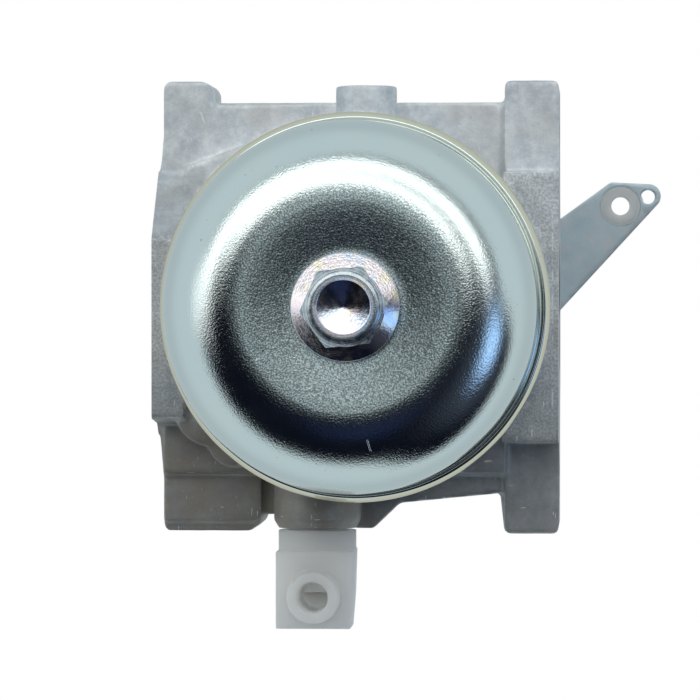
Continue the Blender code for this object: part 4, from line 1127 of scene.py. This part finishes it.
def make_camera():
    """Looks up at the bowl from below, a little from the engine side."""
    lens_mm, sensor_mm = 227.4, 36.0
    place = Vector((5.6, 0.0, -617.0))
    forward = Vector((-0.0565, 0.0097, 1.0)).normalized()
    right = forward.cross(Vector((0, -1, 0))).normalized()
    up = right.cross(forward)
    data = bpy.data.cameras.new("camera")
    data.lens, data.sensor_width = lens_mm, sensor_mm
    data.clip_start, data.clip_end = 0.01, 100.0
    camera = added("camera", data)
    turn = Matrix((right, up, -forward)).transposed().to_4x4()
    camera.matrix_world = Matrix.Translation(place * MM) @ turn
    bpy.context.scene.camera = camera


def make_world():
    """A light tent round the part. Angles are from straight down, where the camera looks from,
    and around that axis from -Y. Two bright part-rings lie round the camera, and a pale wall
    goes from there up to the top. Its edge steps back in two places."""
    world = bpy.data.worlds.new("studio")
    bpy.context.scene.world = world
    world.use_nodes = True
    w = Wiring(world.node_tree)
    back = world.node_tree.nodes["Background"]
    aim = w.add("TexCoord").outputs["Generated"]
    x, y, z = w.add("SeparateXYZ", {0: aim}).outputs
    from_low = w.math("ARCCOSINE", w.times(z, -1.0))
    round_low = w.math("ARCTAN2", x, w.times(y, -1.0))

    def angles(value, low, high):
        return w.smooth(value, math.radians(low), math.radians(high))

    def glow(azimuth, angle, outer, inner):
        """A soft round patch: 1 within the inner angle from its centre, 0 beyond the outer."""
        a, b = math.radians(azimuth), math.radians(angle)
        way = (math.sin(b) * math.sin(a), -math.sin(b) * math.cos(a), -math.cos(b))
        near = w.vector("DOT_PRODUCT", aim, way)
        return w.smooth(near, math.cos(math.radians(outer)), math.cos(math.radians(inner)))

    def between(value, rise, fall):
        return w.times(angles(value, *rise), w.math("SUBTRACT", 1.0, angles(value, *fall)))

    side = w.math("SINE", round_low)

    def bent(low, high, soft, tilt):
        """A ring whose angle grows towards -X by tilt."""
        at = w.plus(from_low, w.times(side, math.radians(tilt)))
        return between(at, (low - soft, low + soft), (high - soft, high + soft))

    inner = w.times(bent(17, 28, 2.5, 6), between(round_low, (-84, -50), (50, 82)))
    outer = w.times(bent(32.5, 45, 3, 3), between(round_low, (-104, -56), (62, 90)))
    sink = w.plus(w.times(glow(180, 55, 60, 20), 7.0), 48.5)
    sink = w.plus(sink, w.times(glow(128, 80, 50, 15), 26.0))
    wall = w.times(angles(w.math("SUBTRACT", from_low, w.math("RADIANS", sink)), -4, 7),
                   w.smooth(from_low, math.radians(80), math.radians(115), 1.0, 0.85))
    total = (0.004, 0.005, 0.010)
    for share, colour in (
            (w.plus(inner, outer), (1.9, 1.92, 1.9)),
            (wall, (0.56, 0.62, 0.64)),
            (glow(106, 45, 12, 4), (0.55, 0.85, 1.35)),
            (glow(110, 45, 32, 12), (0.035, 0.040, 0.052)),
            (glow(180, 20, 11, 4), (0.010, 0.016, 0.045)),
            (glow(0, 0, 17, 6), (0.022, 0.026, 0.030)),
            (glow(-25, 7.5, 12.5, 1), (0.52, 0.58, 0.59)),
            (glow(-86, 47, 14, 4), (0.62, 0.60, 0.60))):
        total = w.mix(1.0, total, w.mix(share, (0.0, 0.0, 0.0), colour), "ADD")
    seen = w.add("LightPath").outputs["Is Camera Ray"]
    w.feed(back.inputs["Color"], w.mix(seen, total, (1.0, 1.0, 1.0)))


def make_floor():
    """A wide pale floor far below, behind the camera. It takes no part in the lighting."""
    half_m, floor_m = 30.0, -1.1
    floor = shaped(lambda bm: bmesh.ops.create_grid(bm, x_segments=1, y_segments=1, size=half_m))
    floor.name = "floor"
    floor.location.z = floor_m
    f = Finish("floor", roughness=0.9)
    f.set(base_color=f.mix(f.noise(f.place, 400.0), (0.90, 0.90, 0.89), (0.94, 0.94, 0.93)))
    floor.data.materials.append(f.material)
    floor.visible_glossy = floor.visible_diffuse = False
    floor.visible_shadow = floor.visible_transmission = False


make_casting()
make_bowl()
make_bolt()
make_elbow()
make_throttle()
make_choke()
make_seals()
make_adjusters()
make_plugs()
finish_hidden_pieces()
make_camera()
make_world()
make_floor()
bpy.context.scene.view_settings.view_transform = "Standard"
